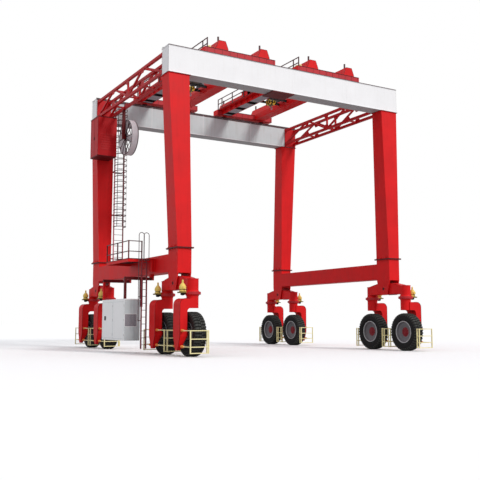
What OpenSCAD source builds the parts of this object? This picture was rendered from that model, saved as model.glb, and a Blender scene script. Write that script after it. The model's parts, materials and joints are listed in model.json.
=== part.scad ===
// A rubber tyred gantry crane: a portal of two girders on four legs, two trolleys
// with hoists on top, and four balance beams with eight steered, braked wheels.
// X runs along the span, Y along the way of travel, Z up from the ground.
// Sizes are in millimetres.

/* [Portal] */
// Length of a main girder along the span
girder_len = 15050; // [13500:50:17000]
// Height of the girder tops above the ground
girder_top = 15530; // [13000:10:18000]
// Depth of a main girder
girder_h = 1420; // [1100:10:1800]
// Width of a main girder over its flanges
girder_w = 860; // [700:10:1000]
// Distance between the centres of the two girders
girder_gauge = 10720; // [9800:20:12000]
// Distance between the sill centres across the span
track = 13440; // [12400:20:14400]
// Distance between the balance beam pins along the sill
pin_base = 11240; // [10600:20:12400]
// Thickness of the plates that show as flanges
plate_t = 30; // [20:1:50]
// Width of an end truss between its two lattice sides
truss_w = 850; // [700:10:900]
// Width of a truss's chords
chord_t = 150; // [110:5:180]

/* [Legs and sills] */
// Width of a leg across the span at its foot
leg_foot_w = 765; // [600:5:900]
// Depth of a leg along the travel at its top
leg_top_d = 820; // [600:5:900]
// Depth of a leg along the travel at its foot
leg_foot_d = 1090; // [900:5:1300]
// Height of the joint between leg and sill
leg_foot_z = 5240; // [5050:10:5800]
// How far the bolted flanges stand out around a leg
flange_out = 85; // [60:5:150]
// Width of a sill beam
sill_w = 750; // [640:10:900]
// Height of the sill's upper face
sill_top = 4975; // [4800:5:5020]
// Depth of a sill beam
sill_h = 895; // [700:5:960]

/* [Balance beams] */
// Height of the balance beam's pin above the ground
pin_z = 3510; // [3400:10:3600]
// Diameter of the balance beam's pin
pin_d = 160; // [100:2:220]
// Distance between the two wheels of a balance beam
wheel_pitch = 2860; // [2800:10:3100]
// Width of a balance beam
beam_w = 560; // [450:10:620]
// Depth of a balance beam
beam_h = 470; // [380:10:540]
// Diameter of the upright housing over each wheel
post_d = 580; // [450:10:650]
// Diameter of the slewing rings
ring_d = 800; // [700:10:860]
// Height of the joint in the slewing ring
ring_z = 2975; // [2900:5:3050]
// Diameter of the king pin in the housing
king_d = 200; // [120:5:260]

/* [Wheels and forks] */
// Diameter of a tyre over its tread
tyre_d = 2100; // [1900:10:2160]
// Width of a tyre
tyre_w = 600; // [450:10:640]
// Diameter of the rim under the tyre
rim_d = 1200; // [1000:10:1300]
// Diameter of the wheel hub
hub_d = 560; // [400:10:640]
// Diameter of the axle
axle_d = 220; // [140:5:260]
// Distance from the king pin out to the arm's outer face
arm_out = 830; // [800:5:900]
// Thickness of the arm across the span
arm_t = 400; // [300:5:440]
// Width of the arm along the travel
arm_w = 700; // [500:10:760]
// Height of the arm's shoulder above the ground
arm_top = 2720; // [2660:5:2800]
// Radius of the shoulder's outer corner
arm_r = 300; // [200:10:400]
// Distance from the wheel's centre to the guard rails
guard_reach = 1250; // [1200:5:1280]
// Thickness of the guard's bars
guard_d = 50; // [30:2:60]

/* [Trolleys] */
// Distance from the middle of the span to a trolley's centre
trolley_x = 2950; // [2800:10:3200]
// How far the pair of trolleys stands off the middle of the span
trolley_mid = 65; // [-200:5:200]
// Length of a trolley's end truck
truck_len = 4370; // [4000:10:4500]
// How far the near truck is set to the left, and the far one to the right
truck_shift = 150; // [0:10:200]
// Width of a trolley's end truck
truck_w = 600; // [450:10:700]
// Distance between a trolley's two cross beams
cross_pitch = 2600; // [2400:10:2900]
// Width of a cross beam at its base
cross_w = 740; // [600:10:860]
// Width of the ledge along the first cross beam
ledge_w = 300; // [240:10:360]
// Height of the trolley rail on the girder
rail_h = 60; // [40:5:100]
// Where the hooks hang, measured from the middle along the travel
hook_y = 1200; // [-2000:50:2000]
// Diameter of the rope drum and of the sheaves
drum_d = 300; // [200:10:320]
// Diameter of the hoisting rope
rope_d = 26; // [16:1:36]

/* [Access] */
// Rise from one rung to the next
rung_pitch = 350; // [250:10:400]
// Height of the platform's railing above its floor
rail_up = 920; // [800:10:1200]
// Length of the access platform along the sill
deck_len = 3190; // [2600:10:3400]
// Middle of the platform along the travel
deck_y = -1655; // [-1700:5:-1200]
// How far the platform reaches out from the sill's centre
deck_out = 1770; // [1600:10:1900]
// Diameter of the cable reel
reel_d = 2100; // [1800:10:2200]
// Width of the cable reel
reel_w = 430; // [300:10:450]

/* [Hidden] */
$fn = 72;

// Paint
red = [0.80, 0.09, 0.10];
pale = [0.90, 0.90, 0.90];
unit_grey = [0.84, 0.85, 0.86];
yellow = [0.93, 0.80, 0.30];
grey = [0.40, 0.40, 0.42];
black = [0.07, 0.07, 0.08];

// The running gap between a pin and its bore, all round
fit = 0.1;
// The gap between flat faces that slide or turn on each other
face_gap = 0.5;
// How deep parts of one piece run into each other
bite = 20;

// Centre of each side, and the shift that centres the whole crane on the origin
side_x = track / 2;
shift = (deck_out - arm_out) / 2;
gauge_y = girder_gauge / 2;
girder_z = girder_top - girder_h;
girder_end = girder_len / 2;
girder_y_in = gauge_y - girder_w / 2;
base_y = pin_base / 2;
half_pitch = wheel_pitch / 2;
wheel_y = [-base_y - half_pitch, -base_y + half_pitch, base_y - half_pitch, base_y + half_pitch];

// Legs: the inner faces are upright across the span, the others lean
head_out = 50;
leg_in = side_x - leg_foot_w / 2;
leg_out_foot = leg_in + leg_foot_w;
leg_out_top = girder_end - 30;
leg_y_in_top = gauge_y - leg_top_d / 2;
leg_y_out_top = gauge_y + leg_top_d / 2;
leg_y_in = base_y - leg_foot_d / 2;
leg_y_out = base_y + leg_foot_d / 2;

// Sills, and the ears that hold the pin of a balance beam
sill_x_in = side_x - sill_w / 2;
sill_x_out = side_x + sill_w / 2;
sill_z = sill_top - sill_h;
ear_t = 50;
ear_foot = 330;
ear_z = pin_z - 340;
ear_shoulder = 80;
pin_cap_d = pin_d + 40;

// End trusses
truss_x2 = girder_end - 75;
truss_x1 = truss_x2 - truss_w;
truss_z1 = girder_z + 160;
truss_z2 = girder_top - 140;
lace_t = 100;
tie_t = 80;

// The plate bolted under the near girder
splice_x = 1400;
splice_mid = -600;
splice_t = 60;
splice_in = 250;

// Balance beams
beam_z = pin_z - 320;
beam_crown_y = 520;
beam_crown_z = beam_z + beam_h + 180;
housing_top = ring_z + 695;
ring_t = 60;
cone_h = 90;
cone_d = ring_d - 120;
king_len = 450;
motor_u = 520;
motor_h = 580;
bracket_w = 360;

// Wheels
wheel_z = tyre_d / 2;
wheel_u = 30;
axle_in = 45;
hub_in = 90;

// Forks
arm_in = arm_out - arm_t;
arch_z = arm_top - 450;
arch_r = 180;
arm_knee = 950;
arm_foot_z = 300;
arm_foot_t = 130;
arm_foot_w = 240;
lug_u = arm_out - arm_foot_t;
lug_y = arm_w / 2 + 40;
guard_z = [1220, 840, 480, 200];
guard_u_out = arm_out - 120;
guard_u_in = -220;
guard_side = 170;

// Trolleys: the rails run over the inner webs of the girders
rail_w = 70;
rail_y = girder_y_in + 100;
rail_z = girder_top + rail_h;
truck_z = rail_z + 70;
truck_top = rail_z + 410;
roller_r = 200;
roller_in = 700;
cross_z = rail_z + 110;
cross_wall = truck_top + 50;
cross_top = truck_top + 480;
cross_top_w = 400;
cross_end = rail_y + truck_w / 2 - 10;
cross_face = cross_pitch / 2 + cross_w / 2;
cap_post_d = 100;
cap_post_h = 290;
cap_post_in = 100;
pocket_y = [-3680, -2190, -700, 1380, 2870, 4250];
pocket_len = 480;
pocket_deep = 90;
rib_t = 30;
rib_out = 60;
ledge_z = truck_top;
ledge_t = 30;
ledge_end = rail_y - 180;
ledge_rail = 720;
ledge_gate = 530;
drive_d = 260;
drive_up = 100;
drive_len = 1000;
drive_y = -ledge_end + 60;
drive_x = cross_face + 110;
box_y = 1000;

// Hoists and hooks
inner_gap = cross_pitch / 2 - cross_w / 2;
drum_z = truck_top + 330;
drum_half = 700;
girt_y = 450;
girt_t = 100;
girt_h = 130;
girt_top = truck_top + 60;
stand_t = 100;
sheave_z = truck_top - 30;
sheave_x = 120;
sheave_t = 60;
cheek_x = 220;
cheek_t = 30;
cheek_y = 235;
hook_ring_r = 85;
hook_wire_d = 66;
hook_z = sheave_z - 480;

// Access platform
deck_t = 40;
deck_top = sill_top - 115;
deck_edge = 180;
deck_in = side_x + sill_w / 2;
deck_end = side_x + deck_out;
deck_front = deck_y - deck_len / 2;
deck_back = deck_y + deck_len / 2;
gate_x = deck_end - 750;
step_x = deck_in + 240;
step_plate = 80;
step_len = 260;
step_h = 680;
post_t = 50;
rail_t = 40;
rail_mid = 0.37;

// Foot ladder, with its two grab loops and its handrail
stile_t = 50;
stile_d = 80;
rung_d = 28;
pipe_d = 36;
foot_gap = 270;
foot_x = deck_end - 955;
foot_y = deck_front - 150;
foot_z = 260;
loop_back = 120;
loop_out = 165;
loop_top = deck_top + 1330;
handrail_z = 1650;

// Caged ladder on the left far leg
cage_w = 600;
cage_r = 350;
cage_deep = 330;
cage_x = leg_in - 625;
cage_y = leg_y_in - 325;
cage_z1 = sill_top + 60;
cage_z2 = girder_z - 250;
cage_tie = cage_r - cage_w / 2 + 10;
hoop_step = rung_pitch;
hoop_fn = 36;
hoop_z = cage_z1 + 2400;
hoop_h = 50;
hoop_t = 10;

// Power unit under the platform, and the hangers that carry it
unit_w = 870;
unit_len = 3300;
unit_x2 = deck_end - 10;
unit_x1 = unit_x2 - unit_w;
unit_y1 = deck_y - 1145;
unit_y2 = unit_y1 + unit_len;
unit_z1 = 660;
unit_z2 = 2800;
door_gap = 20;
hanger_t = 110;
hanger_in = 250;
hanger_low = 400;
hanger_z = sill_z - 150;
hanger_h = 150;

// Control cabinet and cable reel, hung under the left truss
cabinet_w = 1190;
cabinet_len = 1340;
cabinet_h = 2440;
cabinet_x2 = girder_end + 325;
cabinet_z2 = girder_z - 60;
reel_y = 2400;
reel_z = 12600;
reel_gap = 40;
reel_wall = 15;
reel_hub_d = 420;
reel_axle = 120;
spoke_t = 36;

// Mirrors what it is given to the chosen side and end
module quarter(sx, sy) {
  mirror([sx < 0 ? 1 : 0, 0, 0])
    mirror([0, sy < 0 ? 1 : 0, 0])
      children();
}

// A polygon seen from the front, in X and Z, extruded from y1 to y2
module front_slab(y1, y2) {
  translate([0, y2, 0])
    rotate([90, 0, 0])
      linear_extrude(y2 - y1)
        children();
}

// A polygon seen from the side, in Y and Z, extruded from x1 to x2
module side_slab(x1, x2) {
  translate([x1, 0, 0])
    rotate([90, 0, 90])
      linear_extrude(x2 - x1)
        children();
}

// A box between two corners
module block(a, b) {
  translate(a)
    cube(b - a);
}

// A round bar along X, Y or Z from a point
module bar_x(p, len, d) {
  translate(p)
    rotate([0, 90, 0])
      cylinder(h = len, d = d);
}

module bar_y(p, len, d) {
  translate(p)
    rotate([-90, 0, 0])
      cylinder(h = len, d = d);
}

module bar_z(p, len, d) {
  translate(p)
    cylinder(h = len, d = d);
}

// An upright square post of a railing
module post(x, y, z1, z2) {
  block([x - post_t / 2, y - post_t / 2, z1], [x + post_t / 2, y + post_t / 2, z2]);
}

// Portal

module girder() {
  web_in = 30;
  half = girder_w / 2;
  translate([0, gauge_y, 0]) {
    block([-girder_end + web_in, -half + web_in, girder_z + plate_t],
      [girder_end - web_in, half - web_in, girder_top - plate_t]);
    for (z = [girder_z, girder_top - plate_t])
      block([-girder_end, -half, z], [girder_end, half, z + plate_t]);
  }
  block([-girder_end, rail_y - rail_w / 2, girder_top], [girder_end, rail_y + rail_w / 2, rail_z]);
}

module girders() {
  color(pale)
    for (s = [-1, 1])
      quarter(1, s)
        girder();
}

module splice_plate() {
  color(red)
    block([splice_mid - splice_x / 2, -gauge_y - girder_w / 2, girder_z - splice_t],
      [splice_mid + splice_x / 2, -girder_y_in + splice_in, girder_z]);
}

module leg() {
  intersection() {
    front_slab(leg_y_in_top - bite, leg_y_out + bite)
      polygon([[leg_in, leg_foot_z], [leg_out_foot, leg_foot_z], [leg_out_top, girder_z],
        [leg_in, girder_z]]);
    side_slab(leg_in - bite, leg_out_top + bite)
      polygon([[leg_y_in, leg_foot_z], [leg_y_out, leg_foot_z], [leg_y_out_top, girder_z],
        [leg_y_in_top, girder_z]]);
  }
  block([leg_in - flange_out, leg_y_in - flange_out, leg_foot_z],
    [leg_out_foot + flange_out, leg_y_out + flange_out, leg_foot_z + plate_t]);
  block([leg_in - head_out, leg_y_in_top - head_out, girder_z - plate_t],
    [leg_out_top + head_out, leg_y_out_top + head_out, girder_z]);
}

module legs() {
  color(red)
    for (sx = [-1, 1])
      for (sy = [-1, 1])
        quarter(sx, sy)
          leg();
}

module sill_half() {
  shoulder_z = sill_z - ear_shoulder;
  block([sill_x_in, 0, sill_z], [sill_x_out, leg_y_in + bite, sill_top]);
  block([sill_x_in, leg_y_in, shoulder_z], [sill_x_out, leg_y_out, leg_foot_z - plate_t]);
  block([leg_in - flange_out, leg_y_in - flange_out, leg_foot_z - plate_t],
    [leg_out_foot + flange_out, leg_y_out + flange_out, leg_foot_z]);
  difference() {
    for (x = [sill_x_in, sill_x_out - ear_t])
      side_slab(x, x + ear_t)
        polygon([[leg_y_in, sill_z], [leg_y_in, shoulder_z], [base_y - ear_foot, ear_z],
          [base_y + ear_foot, ear_z], [leg_y_out, shoulder_z], [leg_y_out, sill_z]]);
    bar_x([sill_x_in - 1, base_y, pin_z], 16, pin_cap_d);
    bar_x([sill_x_out - 15, base_y, pin_z], 16, pin_cap_d);
  }
  bar_x([sill_x_in + 5, base_y, pin_z], sill_w - 10, pin_d);
}

// The left side is drawn at positive X and mirrored, here and in the access pieces
module hangers() {
  for (y = [unit_y1 + bite, unit_y2 - bite - hanger_t]) {
    block([sill_x_out - hanger_in, y, hanger_z - hanger_h], [unit_x2, y + hanger_t, hanger_z]);
    block([sill_x_out - hanger_in, y - bite, hanger_z - 1],
      [sill_x_out - bite, y + hanger_t + bite, sill_z + 1]);
    block([unit_x2 - hanger_t, y, unit_z2], [unit_x2, y + hanger_t, hanger_z - 1]);
  }
  block([unit_x1 - hanger_t, unit_y1 + bite, unit_z2 - hanger_low],
    [unit_x1, unit_y1 + bite + hanger_t, hanger_z - 1]);
}

module sills() {
  color(red)
    for (sx = [-1, 1])
      mirror([sx < 0 ? 1 : 0, 0, 0]) {
        for (sy = [-1, 1])
          quarter(1, sy)
            sill_half();
        if (sx < 0)
          hangers();
      }
}

// A flat bar between two points, in the plane of a truss side
module lace(a, b) {
  run = norm(b - a);
  translate(a)
    rotate(atan2(b[1] - a[1], b[0] - a[0]))
      translate([0, -lace_t / 2])
        square([run, lace_t]);
}

// One flat lattice side of a truss: a W of lacing between two chords
module truss_side(x) {
  half = girder_y_in;
  low = truss_z1 + chord_t / 2;
  high = truss_z2 - chord_t / 2;
  knot = half * 0.45;
  for (z = [truss_z1, truss_z2 - chord_t])
    block([x, -half + 1, z], [x + chord_t, half - 1, z + chord_t]);
  side_slab(x + (chord_t - lace_t) / 2, x + (chord_t + lace_t) / 2)
    intersection() {
      translate([-half + 1, low])
        square([2 * half - 2, high - low]);
      union() {
        for (s = [-1, 1]) {
          lace([s * half, low], [s * knot, high + 60]);
          lace([0, low], [s * knot, high + 60]);
        }
        translate([-lace_t / 2, low])
          square([lace_t, high - low]);
      }
    }
}

module truss() {
  half = girder_y_in;
  knot = half * 0.45;
  low = truss_z1 + chord_t / 2;
  high = truss_z2 - chord_t / 2;
  for (x = [truss_x1, truss_x2 - chord_t])
    truss_side(x);
  for (y = [-knot, knot])
    block([truss_x1 + bite, y - tie_t / 2, high - tie_t / 2],
      [truss_x2 - bite, y + tie_t / 2, high + tie_t / 2]);
  for (y = [-knot, 0, knot])
    block([truss_x1 + bite, y - tie_t / 2, low - tie_t / 2],
      [truss_x2 - bite, y + tie_t / 2, low + tie_t / 2]);
  for (s = [-1, 1])
    quarter(1, s)
      block([truss_x1 - 20, half - 40, girder_z + 20], [truss_x2 + 20, half, truss_z2 + 20]);
}

module reel_bracket() {
  block([truss_x1, reel_y - chord_t / 2 + 1, reel_z - reel_axle],
    [truss_x1 + chord_t - 1, reel_y + chord_t / 2 - 1, truss_z1 + bite]);
  bar_x([truss_x1 - reel_gap - reel_w + 40, reel_y, reel_z], reel_gap + reel_w, reel_axle);
}

// The deep plates at the left truss's far end, which carry the control cabinet
module cabinet_hanger() {
  block([truss_x1 + chord_t + 1, girder_y_in - 600, cabinet_z2],
    [truss_x2 + 19, leg_y_in_top - head_out - 1, truss_z1 + bite]);
}

module end_trusses() {
  color(red)
    for (sx = [-1, 1])
      mirror([sx < 0 ? 1 : 0, 0, 0]) {
        truss();
        if (sx < 0) {
          reel_bracket();
          cabinet_hanger();
        }
      }
}

// Access

module access_platform() {
  z = deck_top;
  low = z - deck_edge;
  color(red)
    mirror([1, 0, 0]) {
      block([deck_in, deck_front, z - deck_t], [deck_end, deck_back, z]);
      block([deck_end - 60, deck_front, low], [deck_end, deck_back, z - 1]);
      for (y = [deck_front, deck_back - 60])
        block([deck_in, y, low], [deck_end, y + 60, z - 1]);
      for (y = [deck_front + 30, deck_y, deck_back - 30])
        post(deck_end - 30, y, z - 1, z + rail_up);
      post(gate_x, deck_front + 30, z - 1, z + rail_up);
      block([deck_in, deck_front - step_len, z - deck_t], [step_x, deck_front + 1, z]);
      block([deck_in, deck_front - 60, z - step_h], [step_x, deck_front + 1, z - 1]);
      for (x = [deck_in + bite, step_x - bite - step_plate])
        block([x, deck_front - step_len + bite, z - step_h], [x + step_plate, deck_front - 1, z - 1]);
      for (dz = [rail_up * rail_mid, rail_up - rail_t - 5]) {
        block([deck_end - 50, deck_front + 30, z + dz],
          [deck_end - 10, deck_back - 30, z + dz + rail_t]);
        block([gate_x, deck_front + 10, z + dz], [deck_end - 30, deck_front + 50, z + dz + rail_t]);
      }
    }
}

// A grab loop: two uprights with a half ring on top
module loop_z(x1, x2, y, z1, z2, ztop) {
  r = (x2 - x1) / 2;
  bar_z([x1, y, z1], ztop - r - z1, pipe_d);
  bar_z([x2, y, z2], ztop - r - z2, pipe_d);
  translate([(x1 + x2) / 2, y, ztop - r])
    rotate([90, 0, 0])
      rotate_extrude(angle = 180)
        translate([r, 0])
          circle(d = pipe_d);
}

module foot_ladder() {
  loop_z1 = deck_top - 100;
  loop_w = loop_back + loop_out;
  rail_run = loop_z1 - handrail_z;
  color(red)
    mirror([1, 0, 0]) {
      for (x = [foot_x, foot_x + foot_gap]) {
        block([x - stile_t / 2, foot_y - stile_d / 2, foot_z],
          [x + stile_t / 2, foot_y + stile_d / 2, deck_top]);
        block([x - 30, foot_y + 20, deck_top - 120], [x + 30, deck_front, deck_top - 60]);
        bar_x([x - loop_back, foot_y, loop_z1 + 10], loop_w, pipe_d);
        loop_z(x - loop_back, x + loop_out, foot_y, loop_z1,
          x == foot_x ? loop_z1 : handrail_z, loop_top);
      }
      for (z = [foot_z + 200 : rung_pitch : deck_top])
        bar_x([foot_x, foot_y, z], foot_gap, rung_d);
      for (k = [0.01, 0.4, 0.75])
        bar_x([foot_x + foot_gap, foot_y, handrail_z + k * rail_run], loop_out, pipe_d);
    }
}

// The ladder stands in front of the left far leg, inside three rows of hoops and straps
module caged_ladder() {
  mid = cage_x + cage_w / 2;
  hoops = floor((girder_top - 250 - hoop_z) / hoop_step);
  strap_r = cage_r - hoop_t + 2;
  front = cage_y - cage_deep;
  top = girder_top - 250;
  color(red)
    mirror([1, 0, 0]) {
      for (x = [cage_x, cage_x + cage_w])
        block([x - stile_t / 2, cage_y - stile_d / 2, cage_z1],
          [x + stile_t / 2, cage_y + stile_d / 2, top]);
      for (z = [cage_z1 + 200 : rung_pitch : top])
        bar_x([cage_x, cage_y, z], cage_w, rung_d);
      for (i = [0 : hoops])
        translate([mid, front, hoop_z + i * hoop_step]) {
          rotate([0, 0, 180])
            rotate_extrude(angle = 180, $fn = hoop_fn)
              translate([cage_r - hoop_t, 0])
                square([hoop_t, hoop_h]);
          for (s = [-1, 1]) {
            block([s * (cage_r - hoop_t / 2) - hoop_t / 2, -1, 0],
              [s * (cage_r - hoop_t / 2) + hoop_t / 2, cage_deep, hoop_h]);
            block([s * (cage_r + cage_w / 2) / 2 - cage_tie / 2, cage_deep - hoop_t, 0],
              [s * (cage_r + cage_w / 2) / 2 + cage_tie / 2, cage_deep, hoop_h]);
          }
        }
      for (a = [-150, -90, -30])
        translate([mid + strap_r * cos(a), front + strap_r * sin(a), hoop_z])
          rotate([0, 0, a])
            translate([-10, -20, 0])
              cube([12, 40, hoops * hoop_step + hoop_h]);
      for (k = [0.05, 0.36, 0.67, 0.98])
        for (x = [cage_x, cage_x + cage_w]) {
          z = cage_z1 + k * (cage_z2 - cage_z1);
          block([x - 8, cage_y, z], [x + 8, leg_y_in + 120, z + 60]);
          block([x - 8, leg_y_in + 60, z], [leg_in, leg_y_in + 120, z + 60]);
        }
    }
}

module power_unit() {
  door = (unit_len - 60 - door_gap) / 2;
  color(unit_grey)
    mirror([1, 0, 0]) {
      block([unit_x1 + 10, unit_y1 + 10, unit_z1], [unit_x2 - 10, unit_y2 - 10, unit_z2 - 40]);
      block([unit_x1, unit_y1, unit_z2 - 50], [unit_x2, unit_y2, unit_z2]);
      for (k = [0, 1]) {
        y = unit_y1 + 30 + k * (door + door_gap);
        block([unit_x2 - 20, y, unit_z1 + 40], [unit_x2, y + door, unit_z2 - 80]);
      }
    }
}

module control_cabinet() {
  x1 = cabinet_x2 - cabinet_w;
  y2 = leg_y_in_top - 20;
  color(red)
    mirror([1, 0, 0]) {
      block([x1, y2 - cabinet_len, cabinet_z2 - cabinet_h], [cabinet_x2, y2, cabinet_z2]);
      block([x1 - 15, y2 - cabinet_len - 15, cabinet_z2 - 40], [cabinet_x2 + 15, y2 + 15, cabinet_z2]);
    }
}

// A hoop on two spoked sides, with a bored hub that turns on the bracket's axle
module cable_reel() {
  r = reel_d / 2;
  color(grey)
    mirror([1, 0, 0])
      translate([truss_x1 - reel_gap - reel_w, reel_y, reel_z])
        rotate([0, 90, 0])
          difference() {
            union() {
              cylinder(h = reel_w, d = reel_hub_d);
              difference() {
                cylinder(h = reel_w, r = r);
                translate([0, 0, -1])
                  cylinder(h = reel_w + 2, r = r - reel_wall);
              }
              for (z = [10, reel_w - 40])
                for (a = [0 : 30 : 330])
                  rotate([0, 0, a])
                    translate([reel_hub_d / 2 - 60, -spoke_t / 2, z])
                      cube([r - reel_wall / 2 - reel_hub_d / 2 + 60, spoke_t, 30]);
            }
            translate([0, 0, 30])
              cylinder(h = reel_w, d = reel_axle + 2 * fit);
          }
}

// Trolleys

module trolley() {
  for (s = [-1, 1])
    translate([s * truck_shift, s * rail_y, 0]) {
      block([-truck_len / 2, -truck_w / 2, truck_z], [truck_len / 2, truck_w / 2, truck_top]);
      for (x = [-truck_len / 2 + roller_in, truck_len / 2 - roller_in])
        bar_y([x, -60, rail_z + roller_r + face_gap], 120, 2 * roller_r);
    }
  difference() {
    for (s = [-1, 1])
      translate([s * cross_pitch / 2, 0, 0])
        front_slab(-cross_end, cross_end)
          polygon([[-cross_w / 2, cross_z], [cross_w / 2, cross_z], [cross_w / 2, cross_wall],
            [cross_top_w / 2, cross_top], [-cross_top_w / 2, cross_top], [-cross_w / 2, cross_wall]]);
    for (y = pocket_y)
      block([-cross_face + 50, y - pocket_len / 2, cross_z - 1],
        [-cross_face + cross_w - 50, y + pocket_len / 2, cross_z + pocket_deep]);
  }
  for (s = [-1, 1])
    for (y = [-rail_y, rail_y])
      bar_z([s * cross_pitch / 2 - cap_post_in, y, cross_top - 1], cap_post_h + 1, cap_post_d);
  for (k = [-6 : 6])
    block([-cross_face - rib_out, k * 700 - rib_t / 2, cross_z + 40],
      [-cross_face + 5, k * 700 + rib_t / 2, ledge_z - 1]);
  ledge();
}

// The ledge along the first cross beam, with its railing and switch box
module ledge() {
  edge = -cross_face - ledge_w;
  last = ledge_end - 30;
  next = last - ledge_gate;
  block([edge, -ledge_end, ledge_z - ledge_t], [-cross_face + 5, ledge_end, ledge_z]);
  for (y = [-last, -next, -next * 0.67, -next * 0.33, 0, next * 0.33, next * 0.67, next, last])
    post(edge + 30, y, ledge_z - 5, ledge_z + ledge_rail);
  for (z = [ledge_z + ledge_rail / 2, ledge_z + ledge_rail - rail_t - 5])
    block([edge + 30 - rail_t / 2, -ledge_end + 5, z], [edge + 30 + rail_t / 2, ledge_end - 5, z + rail_t]);
  block([edge + 70, box_y, ledge_z - 5], [-cross_face + 5, box_y + 700, ledge_z + 420]);
}

// The hoist: a rope drum on two girts, and the trolley's drive on the ledge
module hoist() {
  reach = girt_y + girt_t / 2;
  for (s = [-1, 1]) {
    block([-inner_gap, hook_y + s * girt_y - girt_t / 2, girt_top - girt_h],
      [inner_gap, hook_y + s * girt_y + girt_t / 2, girt_top]);
    block([s * drum_half - stand_t / 2, hook_y - reach, girt_top - 1],
      [s * drum_half + stand_t / 2, hook_y + reach, drum_z + 60]);
  }
  bar_x([-drum_half, hook_y, drum_z], 2 * drum_half, drum_d);
  drive();
}

module drive() {
  z = ledge_z + drive_d / 2 + drive_up;
  bar_y([-drive_x, drive_y, z], drive_len + bite, drive_d - 40);
  bar_y([-drive_x, drive_y + drive_len, z], drive_d, drive_d);
  for (y = [drive_y + 100, drive_y + drive_len - 200])
    block([-drive_x - 90, y, ledge_z], [-drive_x + 90, y + 100, z]);
}

module hook() {
  low = sheave_z - 150;
  for (x = [-cheek_x, cheek_x])
    side_slab(x - cheek_t / 2, x + cheek_t / 2)
      translate([hook_y, sheave_z])
        polygon([[-cheek_y, -150], [cheek_y, -150], [cheek_y, 30], [cheek_y / 2, 120],
          [-cheek_y / 2, 120], [-cheek_y, 30]]);
  block([-cheek_x, hook_y - cheek_y, low - 110], [cheek_x, hook_y + cheek_y, low + 1]);
  bar_x([-cheek_x, hook_y, sheave_z], 2 * cheek_x, 90);
  for (x = [-sheave_x, sheave_x])
    bar_x([x - sheave_t / 2, hook_y, sheave_z], sheave_t, drum_d);
  bar_z([0, hook_y, hook_z + hook_ring_r - 5], low - 110 - hook_z - hook_ring_r + bite, 90);
  translate([0, hook_y, hook_z])
    rotate([90, 90, 0])
      rotate_extrude(angle = 250)
        translate([hook_ring_r, 0])
          circle(d = hook_wire_d);
}

// Four falls of rope, from the drum to the two sheaves
module ropes() {
  off = drum_d / 2 + rope_d / 2 + 0.3;
  for (x = [-sheave_x, sheave_x])
    for (s = [-1, 1])
      bar_z([x, hook_y + s * off, sheave_z], drum_z - sheave_z, rope_d);
}

// Running gear, drawn around a pin or king pin with the outer side at +X

module balance_beam() {
  w = beam_w / 2;
  difference() {
    union() {
      side_slab(-w, w)
        polygon([[-half_pitch, beam_z], [half_pitch, beam_z], [half_pitch, beam_z + beam_h],
          [beam_crown_y, beam_crown_z], [-beam_crown_y, beam_crown_z], [-half_pitch, beam_z + beam_h]]);
      for (s = [-1, 1])
        translate([0, s * half_pitch, 0]) {
          bar_z([0, 0, ring_z], housing_top - ring_z, post_d);
          bar_z([0, 0, ring_z], ring_t, ring_d);
          translate([0, 0, ring_z + ring_t - 1])
            cylinder(h = cone_h, d1 = cone_d, d2 = post_d);
          block([0, -bracket_w / 2, ring_z], [motor_u + 190, bracket_w / 2, ring_z + ring_t]);
        }
    }
    bar_x([-w - 1, 0, pin_z], beam_w + 2, pin_d + 2 * fit);
    for (s = [-1, 1])
      bar_z([0, s * half_pitch, ring_z - 1], king_len + 3, king_d + 2 * fit);
  }
}

module slew_motor() {
  translate([motor_u, 0, ring_z + ring_t])
    rotate_extrude()
      polygon([[0, 0], [170, 0], [170, 60], [140, 90], [158, 160], [168, 215], [150, 285],
        [105, 360], [60, 410], [45, 430], [45, 520], [30, motor_h], [0, motor_h]]);
}

module slew_motors() {
  for (s = [-1, 1])
    translate([0, s * half_pitch, 0])
      slew_motor();
}

module arm_profile() {
  union() {
    difference() {
      polygon([[0, arch_z], [arm_in, arch_z], [arm_in, arm_knee], [lug_u, arm_foot_z],
        [arm_out, arm_foot_z], [arm_out, arm_top], [0, arm_top]]);
      difference() {
        translate([arm_out - arm_r, arm_top - arm_r])
          square(arm_r + 1);
        translate([arm_out - arm_r, arm_top - arm_r])
          circle(arm_r);
      }
    }
    difference() {
      translate([arm_in - arch_r, arch_z - arch_r])
        square(arch_r + 1);
      translate([arm_in - arch_r, arch_z - arch_r])
        circle(arch_r);
    }
  }
}

module fork() {
  bar_z([0, 0, ring_z - face_gap - king_len], 2 * king_len, king_d);
  bar_z([0, 0, ring_z - face_gap - ring_t], ring_t, ring_d);
  translate([0, 0, ring_z - face_gap - ring_t - cone_h + 1])
    cylinder(h = cone_h, d1 = post_d, d2 = cone_d);
  bar_z([0, 0, arch_z], ring_z - arch_z - ring_t, post_d);
  intersection() {
    front_slab(-arm_w / 2, arm_w / 2)
      arm_profile();
    side_slab(-1, arm_out + 1)
      polygon([[-arm_w / 2, arm_top + 1], [-arm_w / 2, arm_knee], [-arm_foot_w / 2, arm_foot_z],
        [arm_foot_w / 2, arm_foot_z], [arm_w / 2, arm_knee], [arm_w / 2, arm_top + 1]]);
  }
  for (z = [guard_z[0], guard_z[2]])
    block([guard_u_out - 45, -lug_y, z - 45], [guard_u_out + 45, lug_y, z + 45]);
  bar_x([wheel_u - axle_in, 0, wheel_z], arm_in - wheel_u + axle_in + 60, axle_d);
}

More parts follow.
